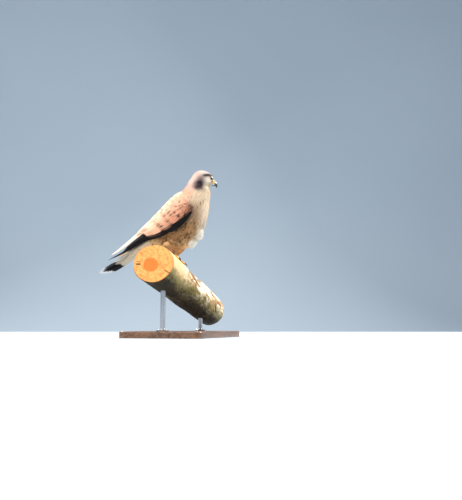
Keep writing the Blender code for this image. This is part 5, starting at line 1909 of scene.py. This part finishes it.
def log_finish():
    """Bark and sawn ends; log_place holds across, along and up in the log's own frame, in millimetres."""
    finish = Finish("bark_and_sawn_ends", 0.85, Specular_IOR_Level=0.25)
    place = finish.attribute("log_place").outputs["Vector"]
    parts = finish.node("ShaderNodeSeparateXYZ")
    finish.fill(parts.inputs[0], place)
    across, along, up = parts.outputs
    depth = finish.attribute("bark_depth").outputs["Fac"]
    cut = finish.attribute("sawn").outputs["Fac"]

    # Bark: pale and smooth near the sawn end, flaking further on, green below, and darkened beneath with
    # painted shade
    layer = finish.attribute("bark_layer").outputs["Fac"]
    broad = finish.noise(finish.place((0.02, 0.012, 0.02), source=place), 1.0, 3.0)
    patches = finish.noise(finish.place((0.10, 0.05, 0.10), source=place), 1.0, 5.0, 0.65, 0.8)
    fine = finish.noise(finish.place((0.8, 0.22, 0.8), source=place), 1.0, 4.0, 0.7)
    speckle = finish.noise(finish.place((2.2, 1.6, 2.2), source=place), 1.0, 3.0, 0.7)
    outer = finish.ramp(
        patches,
        (0.30, paint(188, 150, 118)),
        (0.45, paint(236, 212, 176)),
        (0.56, paint(246, 228, 204)),
        (0.70, paint(226, 184, 166)),
    )
    inner = finish.ramp(
        patches, (0.32, paint(122, 88, 60)), (0.50, paint(168, 130, 92)), (0.68, paint(206, 176, 132))
    )
    plates = finish.mix(layer, outer, inner)
    smooth_bark = finish.mix(finish.step(fine, 0.35, 0.7), paint(226, 192, 146), paint(202, 166, 116))
    near = finish.step(finish.math("MULTIPLY_ADD", broad, 60.0, along), -4.0, 62.0)
    colour = finish.mix(near, smooth_bark, plates)
    colour = finish.mix(finish.step(fine, 0.45, 0.75, 0.0, 0.45), colour, (0.58, 0.52, 0.46), "MULTIPLY")
    # Painted shade: the deepest bark gaps are drawn near black
    deep_gap_shade = finish.step(depth, 0.62, 1.05)
    colour = finish.mix(finish.math("MULTIPLY", deep_gap_shade, 0.92), colour, paint(36, 25, 19))
    moss_and_shade_line = finish.math("MULTIPLY_ADD", patches, 30.0, finish.math("MULTIPLY_ADD", broad, 34.0, up))
    tufts = finish.step(fine, 0.2, 0.55, 0.45, 1.0)
    moss = finish.math("MULTIPLY", finish.step(moss_and_shade_line, 34.0, 14.0), tufts)
    green = finish.mix(finish.step(speckle, 0.35, 0.65), paint(122, 114, 52), paint(74, 70, 32))
    colour = finish.mix(finish.math("MULTIPLY", moss, 0.85), colour, green)
    # Painted shade: the log's underside is drawn near black
    under = finish.step(moss_and_shade_line, 16.0, -6.0, 0.0, 0.94)
    colour = finish.mix(under, colour, paint(30, 24, 20))

    # Sawn ends: rings round a heart set low and to one side, darker there
    heart_across = finish.math("ADD", across, HEART_ACROSS)
    heart_up = finish.math("ADD", up, HEART_DOWN)
    radius = finish.round_gap(heart_across, heart_up)
    out = finish.round_gap(across, up)
    wobble = finish.noise(finish.place((0.07, 0.0, 0.07), source=place), 1.0, 4.0)
    radius = finish.math("MULTIPLY_ADD", wobble, 9.0, radius)
    grain = finish.noise(finish.place((0.35, 0.1, 0.35), source=place), 1.0, 4.0, 0.7)
    mottle = finish.noise(finish.place((0.16, 0.1, 0.16), source=place), 1.0, 3.0, 0.6)
    ring = finish.math("SINE", finish.math("MULTIPLY", radius, 2 * math.pi / RING_STEP))
    sap = finish.mix(finish.step(ring, -0.2, 1.0, 0.0, 0.32), paint(248, 176, 104), paint(230, 148, 76))
    sap = finish.mix(finish.step(mottle, 0.42, 0.62, 0.0, 0.85), sap, paint(232, 142, 74))
    sap = finish.mix(finish.step(grain, 0.48, 0.70, 0.0, 0.85), sap, paint(186, 104, 48))
    heart = finish.mix(finish.step(ring, -0.2, 1.0, 0.0, 0.6), paint(248, 124, 54), paint(224, 94, 32))
    wood = finish.mix(finish.step(radius, HEART_RADIUS + 6.4, HEART_RADIUS + 3.4), sap, heart)
    rim = finish.step(out, LOG_RADIUS - 2.4, LOG_RADIUS - 1.0, 0.0, 0.7)
    wood = finish.mix(rim, wood, paint(140, 92, 54))
    dots = finish.step(speckle, 0.58, 0.70, 0.0, 0.65)
    wood = finish.mix(dots, wood, paint(146, 92, 46))
    # Painted shade: the sawn end's cracks are drawn near black
    wood = finish.mix(finish.attribute("crack").outputs["Fac"], wood, paint(36, 24, 16))
    finish.colour(finish.mix(cut, colour, wood))
    finish.gloss(finish.step(fine, 0.3, 0.7, 0.78, 0.95))
    relief = finish.math("ADD", fine, finish.math("MULTIPLY", speckle, 0.5))
    finish.bump(relief, 0.0009, 0.7)
    return finish.material


def board_finish():
    """Walnut board with a satin lacquer."""
    finish = Finish("lacquered_walnut", 0.38, Coat_Weight=0.35, Coat_Roughness=0.18)
    turn = (0.0, 0.0, math.radians(-BIRD_TURN))
    grain = finish.noise(finish.place((22.0, 2.4, 22.0), rotation=turn), 6.0, 6.0, 0.6, 1.2)
    pores = finish.noise(finish.place((160.0, 8.0, 160.0), rotation=turn), 12.0, 3.0)
    colour = finish.ramp(
        grain,
        (0.30, paint(60, 38, 26)),
        (0.48, paint(98, 66, 44)),
        (0.60, paint(128, 90, 60)),
        (0.72, paint(86, 56, 38)),
    )
    colour = finish.mix(finish.step(pores, 0.58, 0.72, 0.0, 0.6), colour, paint(44, 28, 20))
    finish.colour(colour)
    finish.gloss(finish.step(grain, 0.3, 0.7, 0.32, 0.46))
    finish.bump(pores, 0.0002, 0.4)
    return finish.material


def steel_finish():
    """Steel brushed round the rod, a little stained."""
    finish = Finish("brushed_steel", 0.32, Metallic=1.0)
    brush = finish.noise(finish.place((14.0, 14.0, 900.0)), 3.0, 3.0, 0.6)
    stain = finish.noise(finish.place(), 26.0, 3.0)
    colour = finish.mix(finish.step(brush, 0.3, 0.7), paint(166, 168, 172), paint(196, 198, 202))
    finish.colour(finish.mix(finish.step(stain, 0.45, 0.75, 0.0, 0.4), colour, paint(138, 138, 140)))
    finish.gloss(finish.step(brush, 0.3, 0.7, 0.26, 0.42))
    finish.bump(brush, 0.00005, 0.5)
    return finish.material


# Everything together
def dress(pieces, nodes, finish):
    """Each piece rides on the part, stands for its nodes and takes its finish."""
    for piece in pieces:
        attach(piece, "root")
        if nodes:
            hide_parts(*nodes)
        piece.data.materials.clear()
        piece.data.materials.append(finish)


def mark_skin(skin):
    """Gives the skin the coat's own colours, between the vanes, and moves it into the model's frame."""
    mesh = skin.data
    tints, known = [], {}
    for vertex in mesh.vertices:
        patch = tuple(int(round(value / SKIN_PATCH)) for value in vertex.co)
        if patch not in known:
            known[patch] = (*plumage(vertex.co, vertex.normal)[0], 1.0)
        tints.append(known[patch])
    note(mesh, "tint", "FLOAT_COLOR", "color", tints)
    mesh.transform(PLACE)
    mesh.shade_smooth()


def build_model():
    """Makes and dresses every piece."""
    chestnut = feather_finish("chestnut_feathers", 0.00016)
    cream = feather_finish("cream_feathers", 0.00012)
    grey = feather_finish("grey_feathers", 0.00010)
    yellow = bare_skin_finish("yellow_bare_skin", paint(224, 190, 112), paint(200, 158, 76))
    horn = horn_finish()
    skin = make_skin()
    coats = make_body_coat(skin)
    mark_skin(skin)
    dress([skin], FLESH + ("wing_left", "wing_right", "tail"), skin_finish())
    for name, piece in coats.items():
        node = {"head_coat": "head", "neck_coat": "neck"}.get(name, "torso")
        slot = {"head_coat": "feather_grey", "back_coat": "feather_chestnut"}.get(name, "feather_cream")
        finish = {"feather_grey": grey, "feather_chestnut": chestnut}.get(slot, cream)
        dress([piece], (node,), finish)
    dress([make_down(), make_skirts()], (), cream)
    dress(make_tail(), ("tail",), grey)
    eye, foot, claw = eye_finish(), foot_finish(), claw_finish()
    for side in SIDES:
        dress(make_wing(side), ("wing_" + side,), chestnut)
        dress([make_eye(side)], ("eye_" + side,), eye)
        dress([make_eye_ring(side), make_mouth_line(side)], (), yellow)
        dress([make_foot(side)], ("foot_" + side,), foot)
        claws = ["claw_" + side + "_" + toe[0] for toe in TOES]
        dress([make_claws(side)], claws, claw)
    dress([make_cere()], ("cere",), yellow)
    dress([make_upper_bill()], ("bill_upper",), horn)
    dress([make_lower_bill()], ("bill_lower",), horn)
    dress([make_log()], ("perch_log",), log_finish())
    dress([make_base()], ("stand_base",), board_finish())
    steel = steel_finish()
    for name in ROD_PLACES:
        dress([make_rod(name)], ("stand_rod_" + name,), steel)


# Floor, light and camera
FLOOR_REACH = 6.0
SWEEP_START = 2.6
SWEEP_RADIUS = 1.2
SWEEP_TOP = 5.0
SWEEP_STEPS = 16
# Lights: name, place, size, power, colour. Each looks at LIGHT_AIM
LIGHTS = (
    ("key", (-1.1, -2.2, 2.3), 1.4, 122.0, (1.0, 0.96, 0.90)),
    ("crown_rim", (-1.4, 1.2, 2.0), 0.8, 98.0, (1.0, 0.95, 0.88)),
    ("breast_rim", (1.8, 0.5, 1.5), 0.8, 104.0, (1.0, 0.97, 0.92)),
)
LIGHT_AIM = Vector((0.0, -0.02, 0.22))
CAMERA_PLACE = (-0.033, -1.3316, 0.02)
CAMERA_LENS = 43.44
CAMERA_PITCH = 7.39
CAMERA_YAW = -5.816
SKY = (0.80, 0.88, 1.0, 1.0)
SKY_STRENGTH = 0.55


def make_floor():
    """A pale floor that sweeps up into a pale backdrop."""
    builder = bmesh.new()
    profile = [(-FLOOR_REACH, 0.0), (SWEEP_START, 0.0)]
    for step in range(1, SWEEP_STEPS + 1):
        angle = math.pi / 2 * step / SWEEP_STEPS
        rise = SWEEP_RADIUS * (1 - math.cos(angle))
        profile.append((SWEEP_START + SWEEP_RADIUS * math.sin(angle), rise))
    profile.append((SWEEP_START + SWEEP_RADIUS, SWEEP_TOP))
    chain = [builder.verts.new((-FLOOR_REACH, reach, rise)) for reach, rise in profile]
    edges = [builder.edges.new(pair) for pair in zip(chain, chain[1:])]
    made = bmesh.ops.extrude_edge_only(builder, edges=edges)["geom"]
    moved = [item for item in made if isinstance(item, bmesh.types.BMVert)]
    bmesh.ops.translate(builder, verts=moved, vec=(2 * FLOOR_REACH, 0.0, 0.0))
    mesh = bpy.data.meshes.new("floor")
    builder.to_mesh(mesh)
    builder.free()
    mesh.shade_smooth()
    floor = new_object("floor", mesh)
    finish = Finish("pale_floor", 0.9)
    cloud = finish.noise(finish.place(), 0.8, 2.0)
    finish.colour(finish.mix(cloud, paint(166, 180, 192), paint(176, 189, 200)))
    mesh.materials.append(finish.material)


def put_up(name, data, place, turn):
    """A light or the camera at its place."""
    obj = new_object(name, data)
    obj.location = place
    obj.rotation_euler = turn
    return obj


def light_scene():
    """Three soft lights and a pale sky."""
    for name, place, size, power, colour in LIGHTS:
        lamp = bpy.data.lights.new(name, "AREA")
        lamp.size = size
        lamp.energy = power
        lamp.color = colour
        aim = (LIGHT_AIM - Vector(place)).to_track_quat("-Z", "Y").to_euler()
        put_up(name, lamp, place, aim)
    world = bpy.data.worlds.new("soft_light")
    world.use_nodes = True
    sky = world.node_tree.nodes["Background"]
    sky.inputs["Color"].default_value = SKY
    sky.inputs["Strength"].default_value = SKY_STRENGTH
    bpy.context.scene.world = world
    bpy.context.scene.view_settings.view_transform = "Standard"


def place_camera():
    """The camera, at the photograph's viewing angle, looking a little up."""
    data = bpy.data.cameras.new("camera")
    data.lens = CAMERA_LENS
    data.sensor_width = 36.0
    data.clip_start = 0.01
    turn = (math.radians(90.0 + CAMERA_PITCH), 0.0, math.radians(CAMERA_YAW))
    bpy.context.scene.camera = put_up("camera", data, CAMERA_PLACE, turn)


build_model()
make_floor()
light_scene()
place_camera()
